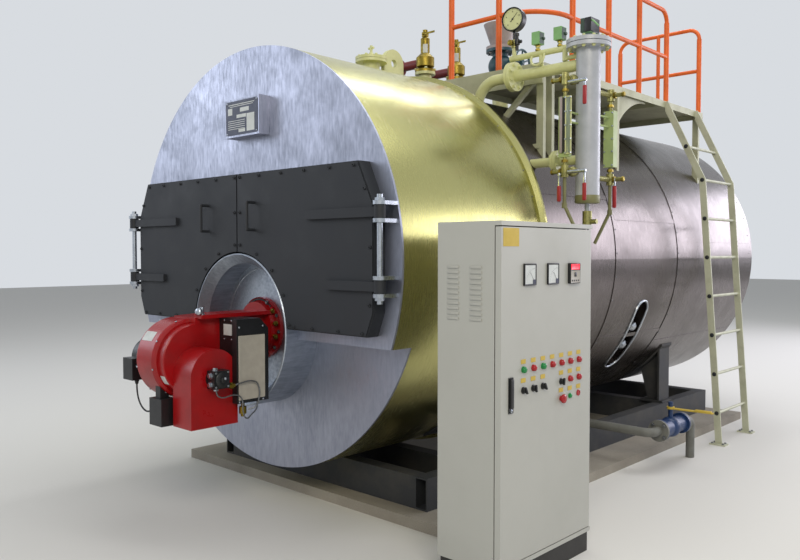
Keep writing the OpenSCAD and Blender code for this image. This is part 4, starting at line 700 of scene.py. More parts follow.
# %% Gland and cable
gland_at, drive_in = at(-0.262, -0.557, -0.6455), at(-0.0535, -0.557, -0.782)
glands = [
    turned("gland", gland_at, DOWN, [(0.013, 0), (0.013, 0.010), (0.010, 0.011), (0.009, 0.022), (0.0055, 0.026)], 16),
    turned("inlet", drive_in, LEFT, [(0.012, 0), (0.012, 0.008), (0.009, 0.009), (0.0055, 0.020)], 16)]
finish(joined("cable_glands", glands), black_phenolic, "boiler")

cable_route = [gland_at + Vector(step) for step in (
    (0, 0, -0.024), (0, 0, -0.050), (0.006, 0, -0.082), (0.020, 0, -0.112), (0.042, 0, -0.137), (0.070, 0, -0.154),
    (0.100, 0, -0.162), (0.130, 0, -0.159), (0.160, 0, -0.147), (0.1905, 0, -0.1365))]
cable_curve = bpy.data.curves.new("drive_cable", "CURVE")
cable_curve.dimensions, cable_curve.bevel_depth, cable_curve.bevel_resolution = "3D", 0.0045, 3
cable_curve.use_fill_caps = True
line = cable_curve.splines.new("NURBS")
line.points.add(len(cable_route) - 1)
for knot, point in zip(line.points, cable_route):
    knot.co = (*point, 1.0)
line.use_endpoint_u, line.order_u, line.resolution_u = True, 4, 6
drive_cable = bpy.data.objects.new("drive_cable", cable_curve)
bpy.context.collection.objects.link(drive_cable)
cable_curve.materials.append(black_rubber)
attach(drive_cable, "boiler")

# %% [markdown]
# ### Pump fittings and oil tubes
# The oil pump has a round cover with a bright screw, hexagon plugs in its ports and a brass valve toward the cover.
# Two 8 mm tubes of dull steel loop from it to the valve block under the control box.

# %% Pump cover, plugs, valve block and tubes
PUMP_X = 0.3306
pump_cap = turned("pump_cap", at(PUMP_X, -0.410, -0.600), RIGHT, [
    (0.040, 0), (0.040, 0.006), (0.036, 0.009), (0.016, 0.010), (0.014, 0.018), (0.010, 0.020)], 32)
finish(pump_cap, black_phenolic, "boiler")
cap_screw = turned("knob", at(PUMP_X + 0.020, -0.404, -0.592), RIGHT, [(0.007, 0), (0.007, 0.004), (0.004, 0.006)], 12)
plugs = copies(hex_bolt(0.013, 0.012), "plugs", [
    facing(at(0.300, -0.4562, -0.578), FRONT), facing(at(0.300, -0.4562, -0.625), FRONT),
    facing(at(0.298, -0.425, -0.6462), DOWN), facing(at(0.300, -0.430, -0.5538), UP)])
cap_bolts = copies(hex_bolt(0.0055, 0.004, washer=False), "cap_bolts", [
    facing(at(PUMP_X, -0.410 + sy * 0.036, -0.600 + sz * 0.036), RIGHT) for sy in (-1, 1) for sz in (-1, 1)])
finish(joined("pump_steel", [cap_screw, plugs, cap_bolts]), bright_steel, "boiler")

brass = [
    turned("brass_valve", at(0.318, -0.3638, -0.640), BACK, [
        (0.012, 0), (0.012, 0.010), (0.017, 0.011), (0.017, 0.024), (0.011, 0.026), (0.009, 0.040), (0.006, 0.042)],
        6, 20),
    turned("valve_block", at(0.282, -0.250, -0.7452), DOWN, [
        (0.010, 0), (0.010, 0.018), (0.020, 0.020), (0.020, 0.056), (0.012, 0.060), (0.010, 0.072)], 16)]
brass += [turned("head_tap", RING + Vector((0, 0.062, 0)) + clock(angle) * 0.1515, clock(angle), [
    (0.010, 0), (0.010, 0.008), (0.014, 0.009), (0.014, 0.020), (0.008, 0.022), (0.006, 0.032)], 12)
    for angle in (52, 78, 104)]
finish(joined("brass_fittings", brass), valve_brass_cast, "boiler")

oil_tubes = [
    tube("feed_tube", [at(0.318, -0.322, -0.640), at(0.320, -0.300, -0.634), at(0.322, -0.200, -0.634),
                       at(0.322, -0.180, -0.652), at(0.322, -0.177, -0.735), at(0.315, -0.192, -0.768),
                       at(0.296, -0.225, -0.782)], 0.004),
    tube("return_tube", [at(0.298, -0.425, -0.659), at(0.300, -0.410, -0.690), at(0.308, -0.300, -0.696),
                         at(0.312, -0.278, -0.715), at(0.312, -0.268, -0.790), at(0.312, -0.248, -0.824),
                         at(0.308, -0.212, -0.808), at(0.300, -0.172, -0.780), at(0.286, -0.160, -0.746)], 0.004)]
finish(joined("burner_oil_tubes", oil_tubes), dull_bolt_steel, "boiler")

# %% [markdown]
# ### Slotted arc on the burner ring
# The ring that holds the burner has a curved clamp with a slot, so the head can be turned before its bolts are pulled
# up. The clamp is a rectangle spun 100 degrees, and its front is inset and pushed back. A black strip across the
# slot's mouth is painted shade for the slot's depth, and a thin bead of weld runs round the tunnel behind the ring.

# %% Clamp, ring bolts and the tunnel's weld
def on_ring(radius, behind, degrees):
    """Points round the burner's ring, at a distance behind the smoke-box face."""
    return [RING + clock(angle) * radius + Vector((0, behind, 0)) for angle in degrees]


weld = tube("tunnel_weld", on_ring(0.345, 0.1062, range(0, 360, 15)), 0.0035, 8, 4, closed=True)
finish(weld, bright_steel, "boiler")
clamp = swept("slotted_clamp", BACK, RING, (0.1535, 0.177), (0.0735, 0.0845), -55, 100, 18)
pick_faces(clamp, lambda spot, normal: normal.y < -0.9)
bpy.ops.mesh.inset(thickness=0.006)
bpy.ops.transform.translate(value=(0, 0.007, 0))
leave(clamp, 30)
finish(clamp, burner_red_enamel, "boiler")
# The black strip over the slot is painted shade, standing in for the dark depth of the slot.
slot_shade_strip = swept("clamp_slot_painted_shade", BACK, RING, (0.1605, 0.1700), (0.0727, 0.0740), -49, 88, 16)
finish(slot_shade_strip, door_black_paint, "boiler")
bolt_spots = on_ring(0.1645, 0.0844, (-75, 62, 95, 130, 160, 190, 220, 250)) + on_ring(0.1652, 0.0727, (-38, 26))
ring_bolts = copies(hex_bolt(0.009, 0.009), "burner_ring_bolts", [facing(spot, FRONT) for spot in bolt_spots])
finish(ring_bolts, dull_bolt_steel, "boiler")

# %% [markdown]
# ## Flange bolts on the pipes
# Every bolted pipe joint shows a ring of hexagon heads. The CAD model gives the flanges, so one bolt is modelled and
# copied round each of them, on both faces. A bolt stands on its face by its washer.

# %% Rings of bolts
COLUMN_X, COLUMN_Y = 1.360, 1.410
VALVES_Y = (1.526, 1.874)
WHEEL_Y = 2.427


def bolt_rings(size, height, name, material, rings):
    """One bolt copied round each flange face. A ring is a centre, a way out, a radius and how many bolts."""
    places = [facing(centre, way) @ Matrix.Rotation(2 * math.pi * (k + 0.5) / count, 4, "Z")
              @ Matrix.Translation((radius, 0, 0)) for centre, way, radius, count in rings for k in range(count)]
    finish(copies(hex_bolt(size, height), name, places), material, "boiler")


bolt_rings(0.0095, 0.010, "pipe_flange_bolts", silver_pipe_paint, [
    (at(0, 0.988, 1.327), UP, 0.084, 8), (at(0, VALVES_Y[0], 1.336), UP, 0.0665, 4),
    (at(0, VALVES_Y[1], 1.336), UP, 0.0665, 4), (at(COLUMN_X, COLUMN_Y, 1.274), UP, 0.108, 12),
    (at(COLUMN_X, COLUMN_Y, 1.226), DOWN, 0.108, 12), (at(0.858, COLUMN_Y, 1.142), RIGHT, 0.070, 8),
    (at(0.820, COLUMN_Y, 1.142), LEFT, 0.070, 8), (at(1.178, COLUMN_Y, 0.590), RIGHT, 0.053, 6),
    (at(1.140, COLUMN_Y, 0.590), LEFT, 0.053, 6)])
bolt_rings(0.010, 0.010, "blowdown_flange_bolts", dull_bolt_steel, [
    (at(1.405, 2.288, -1.146), FRONT, 0.056, 4), (at(1.405, 2.664, -1.146), BACK, 0.056, 4)])

# %% [markdown]
# ## Safety valves and steam valve
# Each safety valve has a lifting lever: a flat bar with a rounded end, held by a fork on its cap, and a bare test tag
# on its tall spring housing. The steam valve has a bolted bonnet and a round hand wheel.

# %% Levers and tags of the safety valves, and the steam valve's wheel
valve_levers, valve_tags = [], []
for behind in VALVES_Y:
    valve_levers += [block("lever", at(-0.012, behind - 0.0240, 1.578), at(0.105, behind - 0.0180, 1.592)),
                     block("fork", at(-0.019, behind - 0.0180, 1.568), at(0.019, behind + 0.018, 1.602), 0.004),
                     turned("lever_pin", at(0, behind - 0.0238, 1.585), FRONT, [
                         (0.006, 0), (0.006, 0.004), (0.004, 0.006)], 12)]
    valve_tags.append(swept("tag", UP, at(0, behind, 0), (0.0322, 0.0332), (1.452, 1.512), 12, 62))
finish(joined("safety_levers", valve_levers), valve_brass_cast, "boiler")
finish(joined("safety_bare_tags", valve_tags), dial_white, "boiler")

wheel_at = at(0.1505, WHEEL_Y, 1.515)
hub_at = wheel_at + Vector((0.058, 0, 0))
deselect()
bpy.ops.mesh.primitive_torus_add(location=hub_at, rotation=(0, math.radians(90), 0), major_radius=0.095,
                                 minor_radius=0.009, major_segments=32, minor_segments=8)
wheel = [settle(bpy.context.object, "rim"), turned("stem", wheel_at, RIGHT, [
    (0.030, 0), (0.026, 0.012), (0.012, 0.014), (0.012, 0.046), (0.020, 0.048), (0.020, 0.068), (0.010, 0.070)], 16)]
for k in range(5):
    out = clock(72 * k, BACK)
    wheel.append(turned("spoke", hub_at + out * 0.015, out, [(0.008, 0), (0.006, 0.075)], 8))
finish(joined("steam_valve_wheel", wheel), valve_teal_enamel, "boiler")
bolt_rings(0.010, 0.011, "steam_valve_bolts", dull_bolt_steel, [
    (at(0, WHEEL_Y, 1.408), UP, 0.092, 8), (at(0, WHEEL_Y, 1.622), DOWN, 0.092, 8)])

# %% [markdown]
# ## Water column, gauges and their levers
# The column's cocks have red vinyl grips that hang down when open, a clear glass stands in each gauge, and its head
# carries a two-part float switch: a dark green end cover and a black box with a bent handle. Grips are blocks with two
# ends rounded by a wide bevel. The blind cap under the column is coloured olive, darker than the column above it.

# %% Grips and spindles of the cocks
arms, sleeves = [], []
for top, length, drop in ((at(1.4335, 1.243, 1.012), 0.100, 0.037), (at(1.2855, 1.222, 0.490), 0.085, 0.069),
                          (at(1.4360, 1.243, 0.505), 0.094, 0.073), (at(1.4320, 1.600, 0.480), 0.125, 0.045)):
    arms.append(block("arm", top + Vector((-0.005, -0.004, -drop)), top + Vector((0.005, 0.004, 0.008))))
    sleeves.append(block("sleeve", top + Vector((-0.012, -0.008, -drop - length)),
                         top + Vector((0.012, 0.008, 0.006 - drop)), 0.0075, 3))
arms += [turned("spindle", at(1.330, 1.243, up), RIGHT, [
    (0.010, 0), (0.010, 0.100), (0.012, 0.102), (0.012, 0.112), (0.008, 0.114)], 12) for up in (1.012, 0.505)]
arms.append(turned("spindle", at(1.2860, 1.246, 0.490), FRONT, [(0.010, 0), (0.010, 0.028), (0.007, 0.031)], 12))
finish(joined("cock_arms", arms), bright_steel, "boiler")
finish(joined("cock_red_grips", sleeves), lever_red_grip, "boiler")

# %% Nuts of the gauge cocks
cap_rings = [(0.016, 0), (0.016, 0.012), (0.011, 0.016)]
gland_rings = [(0.011, 0), (0.019, 0.001), (0.019, 0.016), (0.011, 0.017)]
union_rings = [(0.013, 0), (0.020, 0.001), (0.020, 0.013), (0.013, 0.014)]
gauge_nuts = []
for x, y, z, way in ((1.230, 1.250, 0.510, LEFT), (1.230, 1.250, 1.034, LEFT), (1.472, 1.610, 0.480, RIGHT),
                     (1.472, 1.610, 0.978, RIGHT)):
    gauge_nuts += [turned("cap_nut", at(x, y, z), way, cap_rings, 6, 20),
                   turned("union", at(x - way[0] * 0.055, y, z), way, union_rings, 6, 20)]
for x, y, z in ((1.305, 1.250, 0.560), (1.305, 1.250, 0.962), (1.397, 1.610, 0.525), (1.397, 1.610, 0.908)):
    gauge_nuts.append(turned("gland", at(x, y, z), UP, gland_rings, 6, 20))
finish(joined("gauge_union_nuts", gauge_nuts), valve_brass_cast, "boiler")

# %% Gauge glass, its frame and screws, and the column's foot
GAUGE_FRONT = 1.2290
left_bar = block("gauge_left_bar", at(1.2790, 1.2300, 0.614), at(1.2955, 1.2373, 0.9340))
finish(left_bar, reducer_grey_primer, "boiler")
# A black sheet set back in the gap between the left bar and the glass frame is painted shade in that gap.
gap_shade_sheet = block("gauge_gap_painted_shade", at(1.2965, 1.2345, 0.620), at(1.3150, 1.2372, 0.928), 0.0006, 1)
finish(gap_shade_sheet, black_phenolic, "boiler")
glass_frame = hollow_block("gauge_glass_frame", at(1.3160, GAUGE_FRONT, 0.604), at(1.3560, 1.2373, 0.9340), FRONT,
                           0.0065, 0.003)
finish(glass_frame, silver_pipe_paint, "boiler")
glass = block("gauge_sight_glass", at(1.3235, 1.2300, 0.612), at(1.3485, 1.2335, 0.926), 0.0015)
finish(glass, gauge_glass, "boiler")
screw_spots = [(x, GAUGE_FRONT, z) for x in (1.3195, 1.3525) for z in (0.612, 0.690, 0.768, 0.846, 0.925)]
screw_spots += [(x, 1.5855, z) for x in (1.372, 1.422) for z in (0.565, 0.645, 0.720, 0.795, 0.873)]
frame_screws = copies(hex_bolt(0.0055, 0.005, washer=False), "gauge_frame_screws", [
    facing(at(*spot), FRONT) for spot in screw_spots])
finish(frame_screws, bright_steel, "boiler")
foot_cap = turned("column_foot_cap", at(COLUMN_X, COLUMN_Y, 0.378), DOWN, [
    (0.0706, 0), (0.0724, 0.004), (0.0724, 0.040), (0.069, 0.046), (0.030, 0.048)], 48)
finish(foot_cap, drain_olive_paint, "boiler")

# %% [markdown]
# ### Float head, pressure switches and their fittings
# The head's end cover, its box and the two light green switches have shallow windows, made by insetting a face and
# pushing it in. The handle on the head is a bent tube, and so is the siphon loop under the first switch. The switches
# stand on six-sided necks, and the gauge has a small test cock beside its stem.

# %% Covers and handle
float_cover = hollow_block("float_cover", at(1.3335, 1.3585, 1.3105), at(1.3590, 1.4615, 1.3925), FRONT, 0.007, 0.0015,
                           0.004)
finish(float_cover, float_green_enamel, "boiler")
float_box = hollow_block("float_box", at(1.3595, 1.3585, 1.3105), at(1.4025, 1.4615, 1.3925), RIGHT, 0.010, 0.002,
                         0.004)
finish(float_box, black_phenolic, "boiler")
handle = tube("float_handle", [at(1.396, 1.372, 1.376), at(1.414, 1.366, 1.366), at(1.436, 1.360, 1.346),
                               at(1.452, 1.357, 1.330)], 0.0055)
finish(handle, switch_green_enamel, "boiler")

# %% Switches, siphon loop and test cock
fronts, backs, necks = [], [], []
for x in (1.015, 1.169):
    fronts.append(hollow_block("switch_front", at(x - 0.0275, 1.3800, 1.3075), at(x + 0.0275, 1.3830, 1.3830), FRONT,
                               0.006, 0.0012, 0.0012))
    backs += [block("switch_lid", at(x + 0.0262, 1.3870, 1.3110), at(x + 0.0282, 1.4330, 1.3790), 0.0009, 1),
              turned("gland", at(x + 0.0268, 1.424, 1.345), RIGHT, [(0.010, 0), (0.010, 0.008), (0.007, 0.012)], 12)]
    necks.append(turned("neck", at(x, COLUMN_Y, 1.2735), UP, [
        (0.016, 0), (0.016, 0.010), (0.009, 0.012), (0.009, 0.020), (0.015, 0.021), (0.015, 0.0345)], 6, 20))
necks.append(turned("dial_cock", at(0.841, 1.3895, 1.345), FRONT, [
    (0.012, 0), (0.012, 0.014), (0.018, 0.016), (0.018, 0.030), (0.010, 0.034)], 12))
finish(joined("switch_fronts", fronts), switch_green_enamel, "boiler")
finish(joined("switch_dark_lids", backs), float_green_enamel, "boiler")
finish(joined("switch_necks", necks), valve_brass_cast, "boiler")
siphon = tube("siphon_loop", [at(0.990, 1.383, 1.238), at(0.992, 1.372, 1.205), at(1.020, 1.366, 1.178),
                              at(1.056, 1.370, 1.182), at(1.074, 1.376, 1.208), at(1.074, 1.390, 1.244)], 0.0075)
finish(siphon, silver_pipe_paint, "boiler")
test_cock = [
    turned("body", at(0.868, 1.402, 1.300), UP, [
        (0.010, 0), (0.010, 0.030), (0.017, 0.034), (0.017, 0.066), (0.010, 0.070), (0.008, 0.086), (0.013, 0.088),
        (0.013, 0.104), (0.006, 0.108)], 12),
    turned("link", at(0.8605, 1.402, 1.345), RIGHT, [(0.010, 0), (0.010, 0.020)], 10),
    turned("plug", at(0.884, 1.402, 1.350), RIGHT, [(0.011, 0), (0.011, 0.016), (0.006, 0.019)], 8)]
finish(joined("test_cock", test_cock), black_phenolic, "boiler")

# %% [markdown]
# ### Pressure gauge
# A Bourdon gauge: black case, rolled bezel, pale card with a scale from 0 to 16, and a black pointer. The bezel is
# turned. The scale is short blocks copied on an arc of 270 degrees, and only plain numbers stand beside it. Each part
# is modelled flat at the origin and then put in the dial's place, whose own +Y points up.

# %% Bezel, card, scale and pointer
DIAL_TURN, DIAL_SWEEP, DIAL_MAX = 7, 270, 16
look = clock(DIAL_TURN).z * Vector(FRONT) + clock(DIAL_TURN).x * Vector(RIGHT)
dial_face = facing(at(0.841, COLUMN_Y, 1.493) + look * 0.0232, look)


def on_dial(angle, radius, up):
    """A place on the card. The angle runs clockwise from the bottom left, where the scale starts."""
    theta = math.radians(225 - angle)
    return Vector((radius * math.cos(theta), radius * math.sin(theta), up))


def placed(piece, place, name=None):
    """Puts a piece that was modelled at the origin in its place."""
    piece.matrix_world = place
    return settle(piece, name or piece.name)


card = turned("card", HOME, UP, [(0.0655, 0), (0.0655, 0.0012)], 48)
finish(placed(card, dial_face, "gauge_card"), dial_cream, "boiler")
bezel = turned("bezel", HOME, UP, [
    (0.0735, -0.012), (0.0745, 0.004), (0.0725, 0.009), (0.068, 0.010), (0.066, 0.006), (0.066, 0.0004)], 48, 30)
finish(placed(bezel, dial_face, "gauge_bezel"), black_phenolic, "boiler")

marks = []
for k in range(2 * DIAL_MAX + 1):
    half, length = (0.0006, 0.007) if k % 4 == 0 else (0.0003, 0.004)
    mark = block("mark", (-half, -length, 0.0012), (half, 0, 0.0018), bevel=0)
    spot = on_dial(k * DIAL_SWEEP / (2 * DIAL_MAX), 0.062, 0)
    turn = Matrix.Rotation(math.atan2(-spot.x, spot.y), 4, "Z")
    marks.append(placed(mark, dial_face @ Matrix.Translation(spot) @ turn))
for k in range(0, DIAL_MAX + 1, 4):
    deselect()
    bpy.ops.object.text_add()
    text = bpy.context.object.data
    text.body, text.size, text.extrude = str(k), 0.015, 0.0003
    text.align_x, text.align_y = "CENTER", "CENTER"
    bpy.ops.object.convert(target="MESH")
    number_at = dial_face @ Matrix.Translation(on_dial(k * DIAL_SWEEP / DIAL_MAX, 0.046, 0.0016))
    marks.append(placed(bpy.context.object, number_at, "number"))
pointer = block("pointer", (-0.0022, -0.020, 0.0025), (0.0022, 0.050, 0.0040), bevel=0)
pick_faces(pointer, lambda spot, normal: normal.y > 0.9)
bpy.ops.transform.resize(value=(0.3, 1, 1))
leave(pointer)
hub = turned("hub", (0, 0, 0.002), UP, [(0.006, 0), (0.006, 0.003), (0.004, 0.004)], 16)
marks += [placed(pointer, dial_face @ Matrix.Rotation(math.radians(-42), 4, "Z")), placed(hub, dial_face)]
finish(joined("gauge_scale", marks), black_phenolic, "boiler")

# %% [markdown]
# ## Ladder bolts
# The ladder's rungs are bolted through its flat sides, so each shows a dark head on the outer side. The sides rise
# steeply to a knee and then lean in to the deck, and the rungs' equal steps are counted along them. Each foot is a
# small plate with bolts into the plinth.

# %% Rung bolts and foot bolts
RUNG_PITCH, FIRST_RUNG, LADDER_W = 0.298, 0.230, 0.586
side_front = FACE_Y + 3.593 - 0.293
foot, knee = Vector((1.420, 0, 0.010)), Vector((1.268, 0, 2.020))
rise, lean = (knee - foot).normalized(), Vector((-0.268, 0, 0.550)).normalized()
straight = (knee - foot).length
rung_bolts = []
for k in range(8):
    along = FIRST_RUNG + RUNG_PITCH * k
    spot = foot + rise * along if along < straight else knee + lean * (along - straight)
    rung_bolts += [facing((spot.x, side_front, spot.z), FRONT), facing((spot.x, side_front + LADDER_W, spot.z), BACK)]
finish(copies(hex_bolt(0.012, 0.008), "rung_bolts", rung_bolts), door_black_paint, "boiler")
foot_bolts = [facing((foot.x + dx, side_front + dy, foot.z), UP) for dx in (-0.040, 0.040)
              for dy in (-0.018, 0.030, LADDER_W - 0.030, LADDER_W + 0.018)]
finish(copies(hex_bolt(0.008, 0.008), "ladder_foot_bolts", foot_bolts), dull_bolt_steel, "boiler")

# %% [markdown]
# ## Handhole: dome nuts and a rolled rim
# The long round handhole is closed by a plate behind its ring, pulled up by two yokes. A bright dome nut with a collar
# closes each stud. The cladding's edge round the hole is rolled over into a bead, so it doesn't cut a hand that reaches
# in. The bead is a closed curve round the hole, bent to the jacket.

# %% Dome nuts and rim
HAND_Y, HAND_R, HAND_HALF, HAND_SKIN = 2.665, 0.090, 0.205, 1.1535
tilt = math.radians(30)
hand_out, hand_long = clock(120), clock(30)
dome_nuts = [turned("dome_nut", at(0, HAND_Y, 0) + hand_long * (0.080 * side) + hand_out * 1.1015, hand_out, [
    (0.046, 0), (0.046, 0.005), (0.040, 0.006), (0.040, 0.038), (0.034, 0.045), (0.022, 0.052), (0.008, 0.055)], 6, 20)
    for side in (-1, 1)]
finish(joined("handhole_dome_nuts", dome_nuts), bright_steel, "boiler")
rim = []
for k in range(40):
    turn = 2 * math.pi * k / 40
    along, across = HAND_R * math.cos(turn), HAND_R * math.sin(turn)
    if abs(math.sin(turn)) > 1e-6:
        across += math.copysign(HAND_HALF, across)
    angle = tilt - across / REAR_R
    rim.append(at(HAND_SKIN * math.cos(angle), HAND_Y + along, -HAND_SKIN * math.sin(angle)))
finish(tube("handhole_rim", rim, 0.009, 12, 3, closed=True), bright_steel, "boiler")

# %% [markdown]
# ## Blow-down valve's lever grip
# The ball valve on the blow-down pipe is worked by a flat lever. Its free half is dipped in yellow vinyl,
# which is thicker than the bar and rounded at every edge.

# %% Lever grip
lever_grip = block("lever_grip", HOME, (0.110, 0.026, 0.018), 0.006, 3)
grip_at = Matrix.Translation(at(1.405 + 0.170, 2.463, -1.0235)) @ Matrix.Rotation(math.radians(3), 4, "Z")
finish(placed(lever_grip, grip_at, "blowdown_grip"), yellow_tag_paint, "boiler")

# %% [markdown]
# ## Control cabinet
# The cabinet's door carries its instruments, so all of them ride with the door and swing out with it. Two moving-coil
# meters, a controller with a red display, rows of 22 mm lamps and switches with a yellow tag above each, and a swing
# handle. Each kind is made once, and a table of what stands where is read row by row, as on a panel drawing.

# %% The door's face and the louvres on its side wall
LEAF_X = 1.771
LOUVRE_PITCH = 0.0225


def on_leaf(behind, up, out=0.0):
    """A point on the door's face, or out in front of it."""
    return at(LEAF_X + out, behind, up)


def look_out(behind, up, spin=0.0):
    """A place on the door whose own +Z looks out of the cabinet and whose +Y points up."""
    outward = Matrix(((0, 0, 1, 0), (1, 0, 0, 0), (0, 1, 0, 0), (0, 0, 0, 1)))
    return Matrix.Translation(on_leaf(behind, up)) @ outward @ Matrix.Rotation(math.radians(spin), 4, "Z")


def on_panel(piece, material):
    """Finishes a piece that rides with the cabinet's door."""
    return finish(piece, material, "cabinet_leaf")


louvre = block("louvre", (-0.031, -0.0050, -0.0065), (0.031, 0.0005, 0.0055), 0.0012)
pick_faces(louvre, lambda spot, normal: normal.z > 0.9)
bpy.ops.transform.translate(value=(0, 0.0042, 0))
bpy.ops.transform.resize(value=(0.94, 0.4, 1))
leave(louvre, 40)
louvre_places = [Matrix.Translation((x, FACE_Y - 0.010, AXIS_Z - 0.016 - LOUVRE_PITCH * k))
                 for x in (1.514, 1.639) for k in range(11)]
finish(copies(louvre, "cabinet_louvres", louvre_places), cabinet_powder_coat, "boiler")
skirt = block("cabinet_skirt", (1.4345, FACE_Y - 0.0005, 0.0008), (1.7615, FACE_Y + 0.7305, 0.0992), 0.001, 1)
finish(skirt, cabinet_base_paint, "boiler")

# %% Meters with their cards and needles
meter_frames, meter_cards, meter_marks = [], [], []
for behind in (0.1955, 0.3815):
    meter_frames.append(hollow_block("meter", on_leaf(behind - 0.046, -0.098, 0.0002),
                                     on_leaf(behind + 0.046, -0.002, 0.0100), RIGHT, 0.006, 0.0025, 0.0025))
    meter_cards.append(block("card", on_leaf(behind - 0.0405, -0.0925, 0.0070),
                             on_leaf(behind + 0.0405, -0.0075, 0.0080), 0.0002, 1))
    pivot_y, pivot_z = behind + 0.030, -0.082
    for k in range(11):
        lean = math.radians(90 + 9 * k)
        tick = block("tick", (-0.0003, -0.003, 0.0080), (0.0003, 0.003, 0.0084), bevel=0)
        tick_at = look_out(pivot_y + 0.058 * math.cos(lean), pivot_z + 0.058 * math.sin(lean), 9 * k)
        meter_marks.append(placed(tick, tick_at))
    needle = block("needle", (-0.0006, 0.0, 0.0086), (0.0006, 0.052, 0.0092), bevel=0)
    meter_marks += [placed(needle, look_out(pivot_y, pivot_z, 38)),
                    block("boss", on_leaf(behind + 0.018, -0.0925, 0.0080), on_leaf(behind + 0.0405, -0.072, 0.0096),
                          0.001, 1)]
on_panel(joined("meter_frames", meter_frames), black_phenolic)
on_panel(joined("meter_cards", meter_cards), dial_white)
on_panel(joined("meter_scales", meter_marks), nameplate_dark)

# %% Controller with its red display
controller = hollow_block("controller_case", on_leaf(0.5145, -0.0990, 0.0002), on_leaf(0.6045, -0.0030, 0.0160), RIGHT,
                          0.004, 0.0015, 0.0025)
on_panel(controller, black_phenolic)
pad = hollow_block("controller_pad", on_leaf(0.5190, -0.0950, 0.0146), on_leaf(0.6000, -0.0380, 0.0166), RIGHT, 0.002,
                   0.0006, 0.0008)
on_panel(pad, cover_beige_abs)
keys = [block("key", on_leaf(0.549, -0.067, 0.0158), on_leaf(0.568, -0.046, 0.0176), 0.0012)]
keys += [block("key", on_leaf(0.527 + 0.018 * k, -0.089, 0.0158), on_leaf(0.537 + 0.018 * k, -0.081, 0.0172), 0.001, 1)
         for k in range(4)]
on_panel(joined("controller_keys", keys), black_phenolic)
display = hollow_block("controller_display", on_leaf(0.5230, -0.0330, 0.0146), on_leaf(0.5960, -0.0080, 0.0162), RIGHT,
                       0.0015, 0.0004, 0.0006)
on_panel(display, led_red)

# %% Lamps, selector knobs, buttons and tags
lamp_body = turned("lamp", HOME, UP, [
    (0.0150, 0.0002), (0.0150, 0.0030), (0.0142, 0.0036), (0.0142, 0.0095), (0.0130, 0.0135), (0.0095, 0.0165),
    (0.0040, 0.0178)], 24)
mushroom = turned("mushroom", HOME, UP, [
    (0.0130, 0.0002), (0.0130, 0.0090), (0.0205, 0.0125), (0.0215, 0.0170), (0.0190, 0.0225), (0.0120, 0.0255),
    (0.0040, 0.0265)], 28)
small_lamp = turned("small_lamp", HOME, UP, [
    (0.0125, 0.0002), (0.0125, 0.0040), (0.0105, 0.0045), (0.0100, 0.0100), (0.0060, 0.0125), (0.0030, 0.0130)], 24)
collar = turned("collar", HOME, UP, [
    (0.0150, 0.0002), (0.0150, 0.0035), (0.0130, 0.0050), (0.0120, 0.0050), (0.0120, 0.0030)], 24)
selector = joined("selector", [
    turned("base", HOME, UP, [(0.0155, 0.0002), (0.0155, 0.0050), (0.0125, 0.0060), (0.0120, 0.0140), (0.0110, 0.0150)],
           24),
    block("handle", (-0.0045, -0.0165, 0.0130), (0.0045, 0.0165, 0.0230))])
tag = block("tag", (-0.0180, -0.0100, 0.0002), (0.0180, 0.0100, 0.0016), 0.0005, 1)

# Seven columns stand 77 mm apart. A place is a column's number, a height and, for a knob, how far it is turned.
columns = [0.1545 + 0.0770 * k for k in range(7)]
# The stop, start and reset buttons take the glowing lens finishes, so on them the glow is painted light.
for name, master, material, slot, places in (
        ("green_lamps", lamp_body.copy(), lens_green, "gauge_green", [(0, -0.462), (2, -0.462)]),
        ("red_lamps", lamp_body, lens_red, "burner_red",
         [(k, -0.462) for k in (1, 3, 4, 5, 6)] + [(5, -0.545), (6, -0.545)]),
        ("selector_knobs", selector, black_phenolic, "burner_black",
         [(0, -0.552, 28), (1, -0.552, 8), (2, -0.552, 28), (4, -0.549, -8)]),
        ("stop_button", mushroom, lens_red, "burner_red", [(4, -0.629)]),
        ("start_button", small_lamp, lens_green, "gauge_green", [(5, -0.626)]),
        ("reset_button", collar, lens_red, "burner_red", [(6, -0.622)]),
        ("panel_tags", tag, yellow_tag_paint, "lever_yellow",
         [(k, -0.427) for k in range(7)] + [(k, -0.509) for k in (0, 1, 2, 4, 5, 6)]
         + [(k, -0.590) for k in (4, 5, 6)])):
    on_panel(copies(master, name, [look_out(columns[place[0]], *place[1:]) for place in places]), material)
top_label = block("bare_yellow_label", on_leaf(0.002, 0.072, 0.0002), on_leaf(0.118, 0.150, 0.0012), 0.0004, 1)
on_panel(top_label, yellow_tag_paint)

# %% Swing handle
handle_base = hollow_block("handle_base", on_leaf(0.043, -0.640, 0.0002), on_leaf(0.077, -0.486, 0.0050), RIGHT, 0.004,
                           0.0015, 0.0015)
handle_bar = block("handle_bar", on_leaf(0.0485, -0.618, 0.0030), on_leaf(0.0715, -0.492, 0.0130), 0.004, 3)
lock_eye = turned("lock_eye", on_leaf(0.060, -0.629, 0.0036), RIGHT, [
    (0.0075, 0), (0.0075, 0.004), (0.0055, 0.005), (0.0025, 0.005), (0.0020, 0.002)], 16)
on_panel(joined("cabinet_handle", [handle_base, handle_bar]), black_phenolic)
on_panel(lock_eye, bright_steel)

# %% [markdown]
# ## Floor, light and camera
# A plain pale floor and a pale sky make a studio. Three soft lamps light the boiler from the front, the left and above,
# and two more, a window and a strip, stand where the round jackets reflect them as long highlights.
# The sky is bright where the camera, a shiny surface or a glass sees it, and dimmer where it only lights the boiler.
# The camera stands where the eye of the picture stood: near the right front corner, at head height.

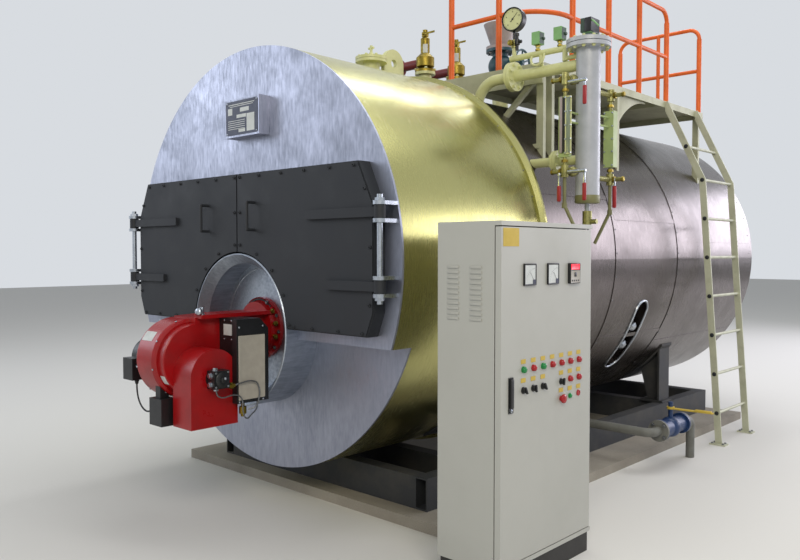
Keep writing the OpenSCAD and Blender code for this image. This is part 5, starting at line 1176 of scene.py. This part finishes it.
# %% The studio
SKY_LIGHT, SKY_SEEN = 0.55, 0.95
deselect()
bpy.ops.mesh.primitive_plane_add(size=60, location=(0, 10, 0))
floor = settle(bpy.context.object, "studio_floor")
pale, _, shader, _ = blank("pale_studio_floor")
shader.inputs["Base Color"].default_value = linear("D3D2CE")
shader.inputs["Roughness"].default_value = 0.85
floor.data.materials.append(pale)

world = bpy.data.worlds.new("pale_sky")
bpy.context.scene.world = world
world.use_nodes = True
sky = world.node_tree
back = sky.nodes["Background"]
back.inputs["Color"].default_value = linear("DDE1E6")
rays = add_node(sky, "ShaderNodeLightPath")
shown = add_node(sky, "ShaderNodeMath", wires={0: rays.outputs["Is Camera Ray"], 1: rays.outputs["Is Glossy Ray"]},
                 operation="MAXIMUM")
seen = add_node(sky, "ShaderNodeMath", wires={0: shown.outputs[0], 1: rays.outputs["Is Transmission Ray"]},
                operation="MAXIMUM")
power = add_node(sky, "ShaderNodeMapRange", {"To Min": SKY_LIGHT, "To Max": SKY_SEEN}, {"Value": seen.outputs[0]})
sky.links.new(power.outputs["Result"], back.inputs["Strength"])

for name, place, aim, size, watts, colour in (
        ("key", (6.5, -7.5, 6.0), (0, -1.5, 1.2), (5.0, 3.0), 400, "FFF6E4"),
        ("fill", (-7.0, -6.5, 4.5), (0, -1.5, 1.2), (5.0, 4.0), 140, "E8F0FF"),
        ("top", (1.5, 0.5, 8.5), (0, 0, 1.4), (4.0, 8.0), 330, "FFFFFF"),
        ("window", (5.2, 9.0, 3.3), (1.1, 0.0, 1.6), (9.0, 3.4), 480, "F4F0FF"),
        ("roof_strip", (-1.5, 5.5, 8.3), (-1.5, 5.5, 0.0), (1.0, 7.0), 165, "FFFFFF")):
    data = bpy.data.lights.new(name, "AREA")
    data.shape, data.size, data.size_y = "RECTANGLE", size[0], size[1]
    data.energy, data.color = watts, linear(colour)[:3]
    lamp = bpy.data.objects.new(name, data)
    lamp.matrix_world = facing(place, Vector(place) - Vector(aim))
    bpy.context.collection.objects.link(lamp)

# The picture is 800 pixels wide, and the eye that took it had a focal length of 782.1 of them.
PICTURE_W, FOCAL, SENSOR = 800, 782.1, 36.0
camera_data = bpy.data.cameras.new("eye")
camera_data.sensor_width, camera_data.lens = SENSOR, SENSOR * FOCAL / PICTURE_W
camera = bpy.data.objects.new("eye", camera_data)
camera.location = (3.688, -5.046, 1.467)
camera.rotation_euler = (math.radians(90 - 2.03), 0.0, math.radians(43.10))
bpy.context.collection.objects.link(camera)
bpy.context.scene.camera = camera
bpy.context.scene.view_settings.view_transform = "Standard"
print("camera at", tuple(camera.location))
